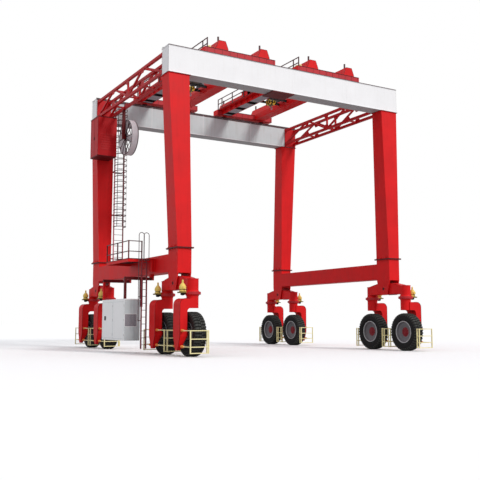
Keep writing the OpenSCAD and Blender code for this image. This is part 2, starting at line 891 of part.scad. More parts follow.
module guard_frame() {
  g = guard_d / 2;
  low = guard_z[3] - g;
  high = guard_z[0] + g;
  back = guard_reach - guard_side;
  for (p = [[guard_u_out, guard_reach], [guard_u_in, guard_reach], [guard_u_in, back]])
    block([p[0] - g, p[1] - g, low], [p[0] + g, p[1] + g, high]);
  for (z = guard_z) {
    block([guard_u_in, guard_reach - g + 5, z - g + 5], [guard_u_out, guard_reach + g - 5, z + g - 5]);
    block([guard_u_in - g + 5, back, z - g + 5], [guard_u_in + g - 5, guard_reach, z + g - 5]);
  }
  for (z = [guard_z[0], guard_z[2]])
    block([guard_u_out - g + 5, lug_y, z - g + 5], [guard_u_out + g - 5, guard_reach, z + g - 5]);
}

module guard() {
  for (s = [-1, 1])
    quarter(1, s)
      guard_frame();
}

module tyre() {
  h = tyre_w / 2;
  r = tyre_d / 2;
  b = rim_d / 2 + 0.3;
  translate([wheel_u, 0, wheel_z])
    rotate([0, 90, 0])
      rotate_extrude()
        polygon([[b, -h + 65], [b + 45, -h + 50], [b + 100, -h + 15], [r - 230, -h], [r - 120, -h + 10],
          [r - 50, -h + 35], [r - 15, -h + 65], [r, -h + 100], [r, -110], [r - 30, -105], [r - 30, -75],
          [r, -70], [r, 70], [r - 30, 75], [r - 30, 105], [r, 110], [r, h - 100],
          [r - 15, h - 65], [r - 50, h - 35], [r - 120, h - 10], [r - 230, h],
          [b + 100, h - 15], [b + 45, h - 50], [b, h - 65]]);
}

module rim() {
  h = tyre_w / 2;
  r = rim_d / 2;
  translate([wheel_u, 0, wheel_z])
    rotate([0, 90, 0])
      difference() {
        rotate_extrude()
          polygon([[0, -hub_in], [hub_d / 2 - 30, -hub_in], [hub_d / 2, -hub_in - 20],
            [r - 70, -150], [r - 45, -h + 70], [r, -h + 70], [r, h - 70], [r - 45, h - 70],
            [r - 70, -100], [hub_d / 2, -60], [hub_d / 2, h - 60], [0, h - 60]]);
        translate([0, 0, -axle_in - 5])
          cylinder(h = tyre_w, d = axle_d + 2 * fit);
      }
}

// Places something drawn around a pin at its corner, with +X outward
module at_pin(sx, sy) {
  translate([sx * side_x, sy * base_y, 0])
    mirror([sx < 0 ? 1 : 0, 0, 0])
      children();
}

// Places something drawn around a king pin at its wheel, numbered from the near end
module at_wheel(sx, n) {
  translate([sx * side_x, wheel_y[n - 1], 0])
    mirror([sx < 0 ? 1 : 0, 0, 0])
      children();
}

translate([shift, 0, 0]) {
  girders();
  splice_plate();
  legs();
  sills();
  end_trusses();
  access_platform();
  foot_ladder();
  caged_ladder();
  power_unit();
  control_cabinet();
  cable_reel();
  color(red) translate([trolley_mid - trolley_x, 0, 0]) trolley();  // trolley_left
  color(red) translate([trolley_mid + trolley_x, 0, 0]) trolley();  // trolley_right
  color(grey) translate([trolley_mid - trolley_x, 0, 0]) hoist();  // hoist_left
  color(grey) translate([trolley_mid + trolley_x, 0, 0]) hoist();  // hoist_right
  color(yellow) translate([trolley_mid - trolley_x, 0, 0]) hook();  // hook_left
  color(yellow) translate([trolley_mid + trolley_x, 0, 0]) hook();  // hook_right
  color(black) translate([trolley_mid - trolley_x, 0, 0]) ropes();  // ropes_left
  color(black) translate([trolley_mid + trolley_x, 0, 0]) ropes();  // ropes_right
  color(red) at_pin(-1, -1) balance_beam();  // balance_beam_left_near
  color(red) at_pin(-1, 1) balance_beam();  // balance_beam_left_far
  color(red) at_pin(1, -1) balance_beam();  // balance_beam_right_near
  color(red) at_pin(1, 1) balance_beam();  // balance_beam_right_far
  color(yellow) at_pin(-1, -1) slew_motors();  // slew_motors_left_near
  color(yellow) at_pin(-1, 1) slew_motors();  // slew_motors_left_far
  color(yellow) at_pin(1, -1) slew_motors();  // slew_motors_right_near
  color(yellow) at_pin(1, 1) slew_motors();  // slew_motors_right_far
  color(red) at_wheel(-1, 1) fork();  // fork_left_1
  color(red) at_wheel(-1, 2) fork();  // fork_left_2
  color(red) at_wheel(-1, 3) fork();  // fork_left_3
  color(red) at_wheel(-1, 4) fork();  // fork_left_4
  color(red) at_wheel(1, 1) fork();  // fork_right_1
  color(red) at_wheel(1, 2) fork();  // fork_right_2
  color(red) at_wheel(1, 3) fork();  // fork_right_3
  color(red) at_wheel(1, 4) fork();  // fork_right_4
  color(yellow) at_wheel(-1, 1) guard();  // guard_left_1
  color(yellow) at_wheel(-1, 2) guard();  // guard_left_2
  color(yellow) at_wheel(-1, 3) guard();  // guard_left_3
  color(yellow) at_wheel(-1, 4) guard();  // guard_left_4
  color(yellow) at_wheel(1, 1) guard();  // guard_right_1
  color(yellow) at_wheel(1, 2) guard();  // guard_right_2
  color(yellow) at_wheel(1, 3) guard();  // guard_right_3
  color(yellow) at_wheel(1, 4) guard();  // guard_right_4
  color(black) at_wheel(-1, 1) tyre();  // tyre_left_1
  color(black) at_wheel(-1, 2) tyre();  // tyre_left_2
  color(black) at_wheel(-1, 3) tyre();  // tyre_left_3
  color(black) at_wheel(-1, 4) tyre();  // tyre_left_4
  color(black) at_wheel(1, 1) tyre();  // tyre_right_1
  color(black) at_wheel(1, 2) tyre();  // tyre_right_2
  color(black) at_wheel(1, 3) tyre();  // tyre_right_3
  color(black) at_wheel(1, 4) tyre();  // tyre_right_4
  color(grey) at_wheel(-1, 1) rim();  // rim_left_1
  color(grey) at_wheel(-1, 2) rim();  // rim_left_2
  color(grey) at_wheel(-1, 3) rim();  // rim_left_3
  color(grey) at_wheel(-1, 4) rim();  // rim_left_4
  color(grey) at_wheel(1, 1) rim();  // rim_right_1
  color(grey) at_wheel(1, 2) rim();  // rim_right_2
  color(grey) at_wheel(1, 3) rim();  // rim_right_3
  color(grey) at_wheel(1, 4) rim();  // rim_right_4
}
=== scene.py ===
import json
import math

import bmesh
import bpy
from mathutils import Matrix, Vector


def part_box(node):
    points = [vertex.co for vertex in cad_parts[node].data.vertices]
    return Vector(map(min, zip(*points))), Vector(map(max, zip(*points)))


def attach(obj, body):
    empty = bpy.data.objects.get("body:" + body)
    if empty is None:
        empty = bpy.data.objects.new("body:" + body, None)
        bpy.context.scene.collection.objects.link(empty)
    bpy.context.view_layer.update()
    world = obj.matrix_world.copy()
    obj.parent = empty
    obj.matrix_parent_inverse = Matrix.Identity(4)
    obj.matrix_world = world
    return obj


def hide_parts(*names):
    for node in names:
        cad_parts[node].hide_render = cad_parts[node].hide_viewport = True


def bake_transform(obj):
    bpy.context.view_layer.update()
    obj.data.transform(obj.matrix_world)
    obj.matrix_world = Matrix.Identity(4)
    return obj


# A rubber tyred gantry crane in a pale studio. Metres, X along the span, Y along the travel, Z up.
# Left is -X. The near side, with the camera, is -Y.

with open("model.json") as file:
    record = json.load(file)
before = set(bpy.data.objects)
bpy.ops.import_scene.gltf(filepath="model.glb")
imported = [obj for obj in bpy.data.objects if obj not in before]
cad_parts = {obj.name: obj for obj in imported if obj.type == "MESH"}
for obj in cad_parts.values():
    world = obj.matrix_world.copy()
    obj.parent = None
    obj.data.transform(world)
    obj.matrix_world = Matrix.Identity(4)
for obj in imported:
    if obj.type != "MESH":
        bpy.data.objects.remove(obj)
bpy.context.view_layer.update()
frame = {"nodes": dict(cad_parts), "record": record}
nodes = frame["nodes"]
scene = bpy.context.scene


# Camera: the photograph's viewing point

camera_data = bpy.data.cameras.new("camera")
camera_data.sensor_width = 36
camera_data.lens = 55.87
camera = bpy.data.objects.new("camera", camera_data)
scene.collection.objects.link(camera)
camera.location = (-22.129, -38.845, 1.659)
camera.rotation_euler = (math.radians(90 + 6.209), 0, math.radians(-30.181))
scene.camera = camera
scene.view_settings.view_transform = "Standard"


# Materials

# Sockets of a Mix node that mixes colours
FACTOR, FIRST, SECOND, MIXED = 0, 6, 7, 2


def tree(name):
    """A new material whose node tree is empty, with its nodes and links."""
    material = bpy.data.materials.new(name)
    material.use_nodes = True
    material.node_tree.nodes.clear()
    return material, material.node_tree.nodes, material.node_tree.links


def noise(make, link, vector, scale, detail):
    """The value of a noise texture over the given coordinates."""
    texture = make.new("ShaderNodeTexNoise")
    texture.inputs["Scale"].default_value = scale
    texture.inputs["Detail"].default_value = detail
    link.new(vector, texture.inputs["Vector"])
    return texture.outputs["Fac"]


def ramp(make, link, value, low, high):
    """A colour that runs between two stops of (position, colour) as the value rises."""
    blend = make.new("ShaderNodeValToRGB")
    for stop, (position, colour) in zip(blend.color_ramp.elements, (low, high)):
        stop.position = position
        stop.color = (*colour, 1)
    link.new(value, blend.inputs["Fac"])
    return blend.outputs["Color"]


def paint(name, colour, dirt=0.12, rough=0.45, streak=0.1, bump=0.02, metal=0.0, shine=0.22):
    """Paint on steel: soft blotches, thin runs of dirt down the faces, and a fine orange peel."""
    material, make, link = tree(name)
    where = make.new("ShaderNodeTexCoord")
    out = make.new("ShaderNodeOutputMaterial")
    shader = make.new("ShaderNodeBsdfPrincipled")
    link.new(shader.outputs["BSDF"], out.inputs["Surface"])
    blotch = noise(make, link, where.outputs["Object"], 0.9, 6)
    base = ramp(make, link, blotch, (0.3, [c * (1 - dirt) for c in colour]),
                (0.7, [min(1, c * (1 + dirt * 0.4)) for c in colour]))
    stretch = make.new("ShaderNodeMapping")
    stretch.inputs["Scale"].default_value = (5, 5, 0.35)
    link.new(where.outputs["Object"], stretch.inputs["Vector"])
    runs = ramp(make, link, noise(make, link, stretch.outputs["Vector"], 1.6, 4), (0.52, (1, 1, 1)),
                (0.75, (1 - streak * 1.5, 1 - streak * 1.7, 1 - streak * 2)))
    mix = make.new("ShaderNodeMix")
    mix.data_type = "RGBA"
    mix.blend_type = "MULTIPLY"
    mix.inputs[FACTOR].default_value = 1
    link.new(base, mix.inputs[FIRST])
    link.new(runs, mix.inputs[SECOND])
    link.new(mix.outputs[MIXED], shader.inputs["Base Color"])
    rough_map = make.new("ShaderNodeMapRange")
    rough_map.inputs["To Min"].default_value = rough - 0.08
    rough_map.inputs["To Max"].default_value = rough + 0.14
    link.new(blotch, rough_map.inputs["Value"])
    link.new(rough_map.outputs["Result"], shader.inputs["Roughness"])
    relief = make.new("ShaderNodeBump")
    relief.inputs["Strength"].default_value = 0.25
    relief.inputs["Distance"].default_value = bump * 0.1
    link.new(noise(make, link, where.outputs["Object"], 60, 3), relief.inputs["Height"])
    link.new(relief.outputs["Normal"], shader.inputs["Normal"])
    shader.inputs["Metallic"].default_value = metal
    shader.inputs["Specular IOR Level"].default_value = shine
    return material


def srgb(r, g, b):
    """A colour from its 0 to 255 display values."""
    def one(v):
        """The linear value of one channel."""
        v /= 255
        return v / 12.92 if v <= 0.04045 else ((v + 0.055) / 1.055) ** 2.4
    return (one(r), one(g), one(b))


def stripes(name, light, dark, plain, above):
    """Sloping bands of two colours above a given level, and a plain colour below it."""
    material = paint(name, light)
    make, link = material.node_tree.nodes, material.node_tree.links
    shader = next(n for n in make if n.type == "BSDF_PRINCIPLED")
    coat = shader.inputs["Base Color"].links[0].from_socket
    where = make.new("ShaderNodeTexCoord")
    lean = make.new("ShaderNodeMapping")
    lean.inputs["Rotation"].default_value = (0.8, 0.6, 0)
    link.new(where.outputs["Object"], lean.inputs["Vector"])
    wave = make.new("ShaderNodeTexWave")
    wave.bands_direction = "Z"
    wave.inputs["Scale"].default_value = 1.9
    link.new(lean.outputs["Vector"], wave.inputs["Vector"])
    band_edges = ramp(make, link, wave.outputs["Fac"], (0.58, (0, 0, 0)), (0.60, (1, 1, 1)))
    split = make.new("ShaderNodeSeparateXYZ")
    link.new(where.outputs["Object"], split.inputs["Vector"])
    level = make.new("ShaderNodeMapRange")
    level.inputs["From Min"].default_value = above
    level.inputs["From Max"].default_value = above + 0.002
    link.new(split.outputs["Z"], level.inputs["Value"])
    mix = make.new("ShaderNodeMix")
    mix.data_type = "RGBA"
    mix.inputs[SECOND].default_value = (*dark, 1)
    link.new(band_edges, mix.inputs[FACTOR])
    link.new(coat, mix.inputs[FIRST])
    whole = make.new("ShaderNodeMix")
    whole.data_type = "RGBA"
    whole.inputs[FIRST].default_value = (*plain, 1)
    link.new(level.outputs["Result"], whole.inputs[FACTOR])
    link.new(mix.outputs[MIXED], whole.inputs[SECOND])
    link.new(whole.outputs[MIXED], shader.inputs["Base Color"])
    return material


RED = paint("crane_red_paint", srgb(220, 22, 25), streak=0.06, shine=0.16)
# Darker red for the end trusses, their gussets and the cabinet: painted shade.
SHADED_RED = paint("shaded_red_paint", srgb(192, 18, 26), shine=0.2)
# Darker red for the hubs: painted shade, with heavier dirt blotches.
HUB = paint("hub_shaded_red_paint", srgb(140, 30, 40), dirt=0.3)
# Darker red for the trucks' webs and the slewing rings' bands: painted shade.
SHADED_SIDE_RED = paint("shaded_side_red_paint", srgb(184, 40, 48), shine=0.28)
LADDER = paint("ladder_red_paint", srgb(136, 34, 44), shine=0.3)
# Lighter pink for the caged ladder's outer stile: painted light.
PINK = paint("lit_pink_red_paint", srgb(198, 120, 126), shine=0.3)
DARK_RED = paint("dark_red_paint", srgb(96, 14, 18))
PALE = paint("girder_white_paint", srgb(244, 243, 244), dirt=0.04, streak=0.02)
UNIT = paint("unit_grey_paint", srgb(254, 254, 254), dirt=0.03, streak=0.03)
# Pale grey for the unit's door frames, and painted shade on the girders' inner webs and the unit's end
# panels.
GREY_TRIM_AND_SHADE = paint("pale_grey_trim_and_painted_shade", srgb(208, 216, 218), dirt=0.08, streak=0.08)
# Grey for the girders' undersides: painted shade on the white paint.
UNDERSIDE_SHADE = paint("girder_underside_painted_shade", srgb(176, 178, 180), dirt=0.1)
GUARD = paint("guard_yellow_paint", srgb(255, 241, 182))
MOTOR = paint("motor_yellow_paint", srgb(240, 208, 108))
CREAM = paint("drive_cream_paint", srgb(244, 234, 160))
# Olive for the motors' grooves and brackets: painted shade on the yellow.
OLIVE = paint("olive_shade_paint", srgb(116, 104, 48))
ORANGE = paint("clamp_orange_paint", srgb(242, 150, 76))
HOOK = stripes("hook_stripes", srgb(244, 206, 70), srgb(26, 25, 24), srgb(150, 132, 140), 15.66)
GREY = paint("machinery_grey_paint", srgb(92, 92, 96))
REEL = paint("reel_dark_paint", srgb(92, 74, 78))
REEL_WEB = paint("reel_web_paint", srgb(222, 216, 220))
RIM = paint("rim_grey_paint", srgb(116, 114, 118), rough=0.36)
RIM_RING = paint("lock_ring_grey_paint", srgb(190, 190, 192), rough=0.36)
BOLT = paint("zinc_bolts", srgb(120, 118, 114), rough=0.4, metal=0.7)
RAIL = paint("rail_steel", srgb(70, 66, 64), rough=0.45, metal=0.6)
RAILING = paint("railing_dark_paint", srgb(96, 74, 76))
PANEL = paint("grey_panel", srgb(168, 164, 172))
TREAD = paint("ledge_plate", srgb(92, 62, 60), rough=0.6, bump=0.05)
BLACK = paint("black_paint", srgb(26, 26, 28), rough=0.5)
MESH = paint("wire_mesh", srgb(96, 96, 98), rough=0.4)
ROPE = paint("greased_rope", srgb(52, 50, 48), metal=0.5)
RUBBER = paint("tyre_rubber", srgb(34, 33, 33), dirt=0.3, rough=0.74, streak=0.03)
# Lighter rubber for the tread blocks: a painted highlight.
BLOCK = paint("tread_block_rubber_highlight", srgb(62, 63, 60), dirt=0.35, rough=0.6, streak=0.03)

FINISH = {
    "crane_red": RED, "girder_paint": PALE, "unit_paint": UNIT, "guard_yellow": GUARD,
    "motor_yellow": MOTOR, "hook_yellow": HOOK, "machinery_grey": GREY, "reel_metal": REEL_WEB,
    "railing_grey": RAILING, "rim_grey": RIM, "rope_steel": ROPE, "tyre": RUBBER,
}
# These parts take darker finishes than their slots: painted shade.
SHADED_NODES = {"splice_plate": DARK_RED, "control_cabinet": SHADED_RED, "end_trusses": SHADED_RED}
for part in frame["record"]["subparts"]:
    skin = nodes[part["node"]].data.materials
    skin.clear()
    skin.append(SHADED_NODES.get(part["node"], FINISH[part["material_slot"]]))


# Main places. X is measured from the portal's middle and Y from the crane's middle.

SHIFT = 0.47        # the portal's middle in X
SIDE = 6.72         # the legs' and the steering axes' plane
BASE = 5.62         # the pin of a balance beam
HALF = 1.43         # from that pin to a steering axis
PIN = 3.51          # the pin's height
RING = 2.975        # top of a fork's slewing ring
SEAT = 3.035        # top of a balance beam's ring plate, where the motors stand
OUTWARD = 0.03      # from a steering axis out to the wheel's middle
AXLE = 1.05         # the wheels' axle height
MOTOR_X = 0.52      # from a steering axis out to its motor
CLAMP_X = 0.71      # and to the guard's clamps
PAIR = 0.065        # shift of both trolleys together
TROLLEY = 2.95      # from there to a trolley's middle
TRACK = 5.03        # the rails and the trolleys' trucks
TRUCK_SHIFT = 0.15  # the near truck's shift to the left and the far truck's to the right
ROLLER = 15.7905    # the trolley wheels' axle height
HOOK_Y = 1.2        # the hoist, the ropes and the hook
SHEAVE_X = 0.12
SHEAVE = 15.97      # the sheaves' axle height
DRUM = 16.33        # the drum's axle height
REEL_Y, REEL_Z = 2.4, 12.6

WHEELS = (-BASE - HALF, -BASE + HALF, BASE - HALF, BASE + HALF)
SIDES = (("left", -1), ("right", 1))
ENDS = (("near", -1), ("far", 1))


# Shapes

# Two directions across each axis, and the axis itself
AXES = {"x": ((0, 1, 0), (0, 0, 1), (1, 0, 0)),
        "y": ((0, 0, 1), (1, 0, 0), (0, 1, 0)),
        "z": ((1, 0, 0), (0, 1, 0), (0, 0, 1))}


def circle(count, offset=0.0):
    """Cosine and sine at evenly spaced places round a circle."""
    angles = [math.tau * (i + offset) / count for i in range(count)]
    return [(math.cos(a), math.sin(a)) for a in angles]


class Piece:
    """Gathers closed solids in one mesh. Points are (out, along, up) from a place on the floor, and
    side -1 turns outward to the left."""

    def __init__(self, x=SHIFT, y=0.0, side=1):
        self.form = bmesh.new()
        self.x, self.y, self.side = x, y, side

    def add(self, points, faces, skin=0):
        """Points and the faces between them."""
        verts = [self.form.verts.new((self.x + self.side * p[0], self.y + p[1], p[2])) for p in points]
        for face in faces:
            self.form.faces.new([verts[i] for i in face]).material_index = skin

    def prism(self, points, skin=0):
        """A solid between two outlines of the same number of points, given one after the other."""
        n = len(points) // 2
        sides = [(k, (k + 1) % n, n + (k + 1) % n, n + k) for k in range(n)]
        self.add(points, sides + [list(range(n)), list(range(2 * n - 1, n - 1, -1))], skin)

    def box(self, low, high, skin=0):
        """An upright block between two opposite corners."""
        (x0, y0, z0), (x1, y1, z1) = low, high
        corners = ((x0, y0), (x1, y0), (x1, y1), (x0, y1))
        self.prism([(x, y, z) for z in (z0, z1) for x, y in corners], skin)

    def turn(self, centre, axis, outline, sides=24, skin=0, close=False):
        """Turns an outline of (radius, height) about an axis. A closed outline makes a ring."""
        u, v, w = [Vector(way) for way in AXES[axis]]
        c = Vector(centre)
        points, faces, n = [], [], len(outline)
        for across, up in circle(sides):
            way = u * across + v * up
            points += [c + way * r + w * h for r, h in outline]
        for i in range(sides):
            j = (i + 1) % sides
            for k in range(n if close else n - 1):
                m = (k + 1) % n
                faces.append((i * n + k, j * n + k, j * n + m, i * n + m))
        if not close:
            faces.append([i * n for i in range(sides)])
            faces.append([i * n + n - 1 for i in range(sides)])
        self.add(points, faces, skin)

    def rod(self, a, b, radius, sides=10, skin=0):
        """A round bar between two points."""
        a, b = Vector(a), Vector(b)
        w = (b - a).normalized()
        u = w.orthogonal().normalized()
        v = w.cross(u)
        self.prism([p + (u * c + v * d) * radius for p in (a, b) for c, d in circle(sides)], skin)

    def line(self, points, radius, skin=0, sides=6):
        """Round bars from point to point."""
        for a, b in zip(points, points[1:]):
            self.rod(a, b, radius, sides, skin)

    def bolt(self, at, axis, size=0.03, skin=0, down=False):
        """A washer and a hexagon head standing on a face."""
        s = -1 if down else 1
        self.turn(at, axis, [(size * 1.15, 0), (size * 1.15, s * 0.004)], 12, skin)
        head = [(size, s * 0.003), (size, s * size * 0.6), (size * 0.9, s * size * 0.7)]
        self.turn(at, axis, head, 6, skin)

    def bolts(self, centre, axis, radius, places, size, skin=0, down=False):
        """Bolts at the given places of a circle round an X or a Z axis."""
        x, y, z = centre
        for across, up in places:
            a, b = radius * across, radius * up
            self.bolt((x, y + a, z + b) if axis == "x" else (x + a, y + b, z), axis, size, skin, down)

    def make(self, name, body, *skins, sharp=32):
        """Ends the mesh with its materials. It rides on the body, if one is named."""
        bmesh.ops.recalc_face_normals(self.form, faces=self.form.faces)
        mesh = bpy.data.meshes.new(name)
        self.form.to_mesh(mesh)
        self.form.free()
        for skin in skins:
            mesh.materials.append(skin)
        mesh.polygons.foreach_set("use_smooth", [True] * len(mesh.polygons))
        mesh.set_sharp_from_angle(angle=math.radians(sharp))
        obj = bpy.data.objects.new(name, mesh)
        scene.collection.objects.link(obj)
        if body:
            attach(obj, body)
        return obj


# Wheels, forks, guards and balance beams

def tyre(side, s, n):
    """A carcass with ribs on its walls, and four rows of tread blocks in a lighter rubber, which is a painted
    highlight.
    """
    name = "%s_%d" % (side, n)
    p = Piece(SHIFT + s * SIDE, WHEELS[n - 1], s)
    wall = [(0.600, 0.230), (0.645, 0.246), (0.66, 0.262), (0.70, 0.285), (0.71, 0.288), (0.712, 0.295),
            (0.725, 0.295), (0.727, 0.290), (0.80, 0.299), (0.86, 0.300), (0.862, 0.296), (0.90, 0.293),
            (0.94, 0.288), (0.97, 0.270), (0.995, 0.245), (1.005, 0.20), (1.008, 0.12), (0.998, 0.1),
            (0.998, 0.012), (0.99, 0.0)]
    ring = [(r, -h) for r, h in wall] + [(r, h) for r, h in reversed(wall[:-1])]
    p.turn((OUTWARD, 0, AXLE), "x", ring, 88, close=True)
    shoulder = [(0.118, 0.98), (0.112, 1.044), (0.135, 1.0495), (0.20, 1.0485), (0.255, 1.035),
                (0.283, 1.005), (0.297, 0.955), (0.296, 0.915), (0.27, 0.915), (0.2, 0.97)]
    middle = [(0.012, 0.97), (0.010, 1.044), (0.016, 1.0498), (0.088, 1.0498), (0.094, 1.044), (0.092, 0.97)]
    blocks, crown, narrower, pivot = 40, 1.03, 0.92, 0.1
    for i in range(blocks):
        for flip, start in ((-1, 0.75), (1, 0.25)):
            for outline, lean, fill in ((shoulder, 0.06, 0.58), (middle, -0.24, 0.70)):
                at = math.tau * (i + start) / blocks
                half_arc = math.pi / blocks * fill
                points = []
                for edge in (-1, 1):
                    for h, r in outline:
                        t = at + edge * half_arc * (1 if r < crown else narrower) + lean * (h - pivot)
                        points.append((OUTWARD + flip * h, math.cos(t) * r, AXLE + math.sin(t) * r))
                # Skin 1, the lighter tread rubber: a painted highlight.
                p.prism(points, 1)
    obj = p.make("tyre_tread_" + name, "wheel_" + name, RUBBER, BLOCK, sharp=28)
    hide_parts("tyre_" + name)


def wheel_trim(side, s, n):
    """The red hub with its nuts, the ring of rim bolts and the split lock rings. The hub's darker red is
    painted shade, and the outward lock ring takes the darker rim grey as painted shade.
    """
    name = "%s_%d" % (side, n)
    p = Piece(SHIFT + s * SIDE, WHEELS[n - 1], s)
    c = (OUTWARD, 0, AXLE)
    p.turn(c, "x", [(0.300, -0.08), (0.300, -0.093), (0.276, -0.100), (0.205, -0.104), (0.19, -0.118),
                    (0.12, -0.120), (0.105, -0.142), (0.01, -0.146)], 40)
    p.bolts((OUTWARD - 0.101, 0, AXLE), "x", 0.236, circle(10), 0.016, 1, down=True)
    p.bolts((OUTWARD - 0.122, 0, AXLE), "x", 0.36, circle(24, 0.5), 0.017, 1, down=True)
    lock = ((0.570, 0.228), (0.570, 0.258), (0.580, 0.266), (0.604, 0.266), (0.614, 0.256), (0.614, 0.240),
            (0.600, 0.228))
    # The outward lock ring is in the darker rim grey: painted shade.
    for flip, skin in ((-1, 2), (1, 3)):
        p.turn(c, "x", [(r, flip * h) for r, h in lock], 64, skin, close=True)
    p.make("wheel_trim_" + name, "wheel_" + name, HUB, BOLT, RIM_RING, RIM)


def arm_edge(k):
    """Points down one outer edge of a fork's arm, round its shoulder, past its knee and to its foot."""
    wide, narrow, knee = 0.352, 0.122, 0.95
    angles = [math.pi / 16 * i for i in range(9)]
    shoulder = [(0.53 + 0.291 * math.sin(a), 2.42 + 0.3 * math.cos(a)) for a in angles]
    outline = [(0.29, 2.72)] + shoulder + [(0.821, knee), (0.821, 0.30)]
    return [(u, k * (wide if z >= knee else narrow), z) for u, z in outline]


def fork_trim(side, s, n):
    """Bolts under the slewing ring, a band of darker red round it as painted shade, dark beads along the
    arm's welded edges whose darkness is painted shade, the axle's flange and the guard's clamps.
    """
    name = "%s_%d" % (side, n)
    p = Piece(SHIFT + s * SIDE, WHEELS[n - 1], s)
    p.bolts((0, 0, 2.9145), "z", 0.37, circle(20, 0.5), 0.016, 1, down=True)
    ring = [(0.398, 2.9140), (0.4025, 2.9180), (0.4025, 2.9700), (0.398, 2.9740)]
    # A band of darker red round the slewing ring: painted shade.
    p.turn((0, 0, 0), "z", ring, 64, 4, close=True)
    flange = [(0.11, -0.1), (0.125, -0.1), (0.125, -0.02), (0.2, -0.02), (0.215, -0.012), (0.215, 0.0),
              (0.11, 0.0)]
    p.turn((0.43, 0, AXLE), "x", flange, 40, close=True)
    p.bolts((0.41, 0, AXLE), "x", 0.17, circle(12), 0.014, 1, down=True)
    for k in (-1, 1):
        # Dark red beads along the welded edges: their darkness is painted shade.
        p.line(arm_edge(k), 0.009, 3)
        p.line([(0.43, k * 0.35, 2.09), (0.43, k * 0.35, 0.95), (0.70, k * 0.12, 0.30)], 0.008, 3)
        for z in (1.22, 0.48):
            for y0, y1, radius in ((0.34, 0.41, 0.070), (0.40, 0.48, 0.046), (0.47, 0.52, 0.058)):
                p.rod((CLAMP_X, k * y0, z), (CLAMP_X, k * y1, z), radius, 16, 2)
    p.make("fork_trim_" + name, "fork_" + name, RED, BOLT, ORANGE, DARK_RED, SHADED_SIDE_RED)


def motors(side, s, end, e):
    """Two upright geared motors, each with a flared skirt, a groove in olive as painted shade, a dome and a
    knob.
    """
    name = "%s_%s" % (side, end)
    p = Piece(SHIFT + s * SIDE, e * BASE, s)
    skirt = [(0.150, 0.0), (0.169, 0.012), (0.169, 0.040), (0.152, 0.062), (0.128, 0.086)]
    groove = [(0.122, 0.080), (0.128, 0.088), (0.128, 0.104), (0.122, 0.112)]
    dome = [(0.120, 0.106), (0.146, 0.114), (0.163, 0.150), (0.168, 0.205), (0.160, 0.250), (0.140, 0.300),
            (0.108, 0.348), (0.078, 0.385), (0.058, 0.408), (0.046, 0.424), (0.040, 0.438), (0.045, 0.452),
            (0.045, 0.515), (0.034, 0.552), (0.010, 0.572)]
    fin = 0.004
    for along in (-HALF, HALF):
        c = (MOTOR_X, along, SEAT)
        p.turn(c, "z", skirt, 36)
        # The groove in olive: painted shade in the crease.
        p.turn(c, "z", groove, 36, 1)
        p.turn(c, "z", dome, 36)
        for z, r in ((0.128, 0.156), (0.250, 0.163), (0.424, 0.049)):
            band_edge = [(r - 0.01, z - 0.006), (r + 0.005, z - 0.003), (r + 0.005, z + 0.003),
                         (r - 0.01, z + 0.006)]
            p.turn(c, "z", band_edge, 36, 4, close=True)
        p.bolts((MOTOR_X, along, SEAT + 0.063), "z", 0.145, circle(8, 0.5), 0.010, 3)
        for across, up in circle(20):
            side_y, side_x = across * fin, -up * fin
            p.prism([(MOTOR_X + across * r + side_x * k, along + up * r + side_y * k, SEAT + z)
                     for z, reach in ((0.135, 0.165), (0.262, 0.163))
                     for r, k in ((0.10, -1), (reach, -1), (reach, 1), (0.10, 1))])
        p.box((0.46, along - 0.20, SEAT + 0.14), (0.58, along - 0.13, SEAT + 0.24))
        p.rod((MOTOR_X, along - 0.175, SEAT + 0.15), (MOTOR_X, along - 0.175, SEAT + 0.03), 0.012, 10, 2)
    obj = p.make("geared_motors_" + name, "balance_%s_%s" % (side, end), MOTOR, OLIVE, BLACK, BOLT, CREAM)
    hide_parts("slew_motors_" + name)


def beam_trim(side, s, end, e):
    """Ring bolts, a band of darker red round the ring as painted shade, housing lids, motor brackets in olive
    as painted shade with pinions, and the seams of a balance beam, with dark lines of painted shade along its
    edges.
    """
    p = Piece(SHIFT + s * SIDE, e * BASE, s)
    ring = [(0.398, 2.9760), (0.4025, 2.9800), (0.4025, 3.0310), (0.398, 3.0350)]
    lid = [(0.305, 3.645), (0.305, 3.668), (0.296, 3.6698), (0.27, 3.6698), (0.27, 3.645)]
    weld = [(0.289, 3.36), (0.298, 3.366), (0.289, 3.372)]
    pinion = [(0.06, 0), (0.102, -0.004), (0.102, -0.085), (0.07, -0.10), (0.03, -0.115)]
    clear_of_motor = [place for place in circle(20, 0.5) if place[0] < 0.75]
    for along in (-HALF, HALF):
        p.bolts((0, along, SEAT), "z", 0.37, clear_of_motor, 0.016, 1)
        # A band of darker red round the ring: painted shade.
        p.turn((0, along, 0), "z", ring, 64, 5, close=True)
        p.turn((0, along, 0), "z", lid, 48, close=True)
        p.turn((0, along, 0), "z", weld, 48, close=True)
        # The motor bracket in olive: painted shade.
        p.box((0.405, along - 0.182, 2.973), (0.712, along + 0.182, 3.0354), 2)
        p.turn((MOTOR_X, along, RING), "z", pinion, 28, 4)
    for u in (-0.286, 0.280):
        for y in (-0.61, 0.61):
            p.box((u, y - 0.01, 3.20), (u + 0.006, y + 0.01, 3.65))
        p.box((u, -1.15, 3.203), (u + 0.006, 1.15, 3.209))
    # Dark lines along the beam's edges: painted shade.
    for u in (-0.28, 0.28):
        p.line([(u, -1.14, 3.717), (u, -0.52, 3.84), (u, 0.52, 3.84), (u, 1.14, 3.717)], 0.008, 3)
        p.line([(u, -1.14, 3.19), (u, 1.14, 3.19)], 0.006, 3)
    p.make("beam_trim_%s_%s" % (side, end), "balance_%s_%s" % (side, end), RED, BOLT, OLIVE, DARK_RED, BLACK,
           SHADED_SIDE_RED)


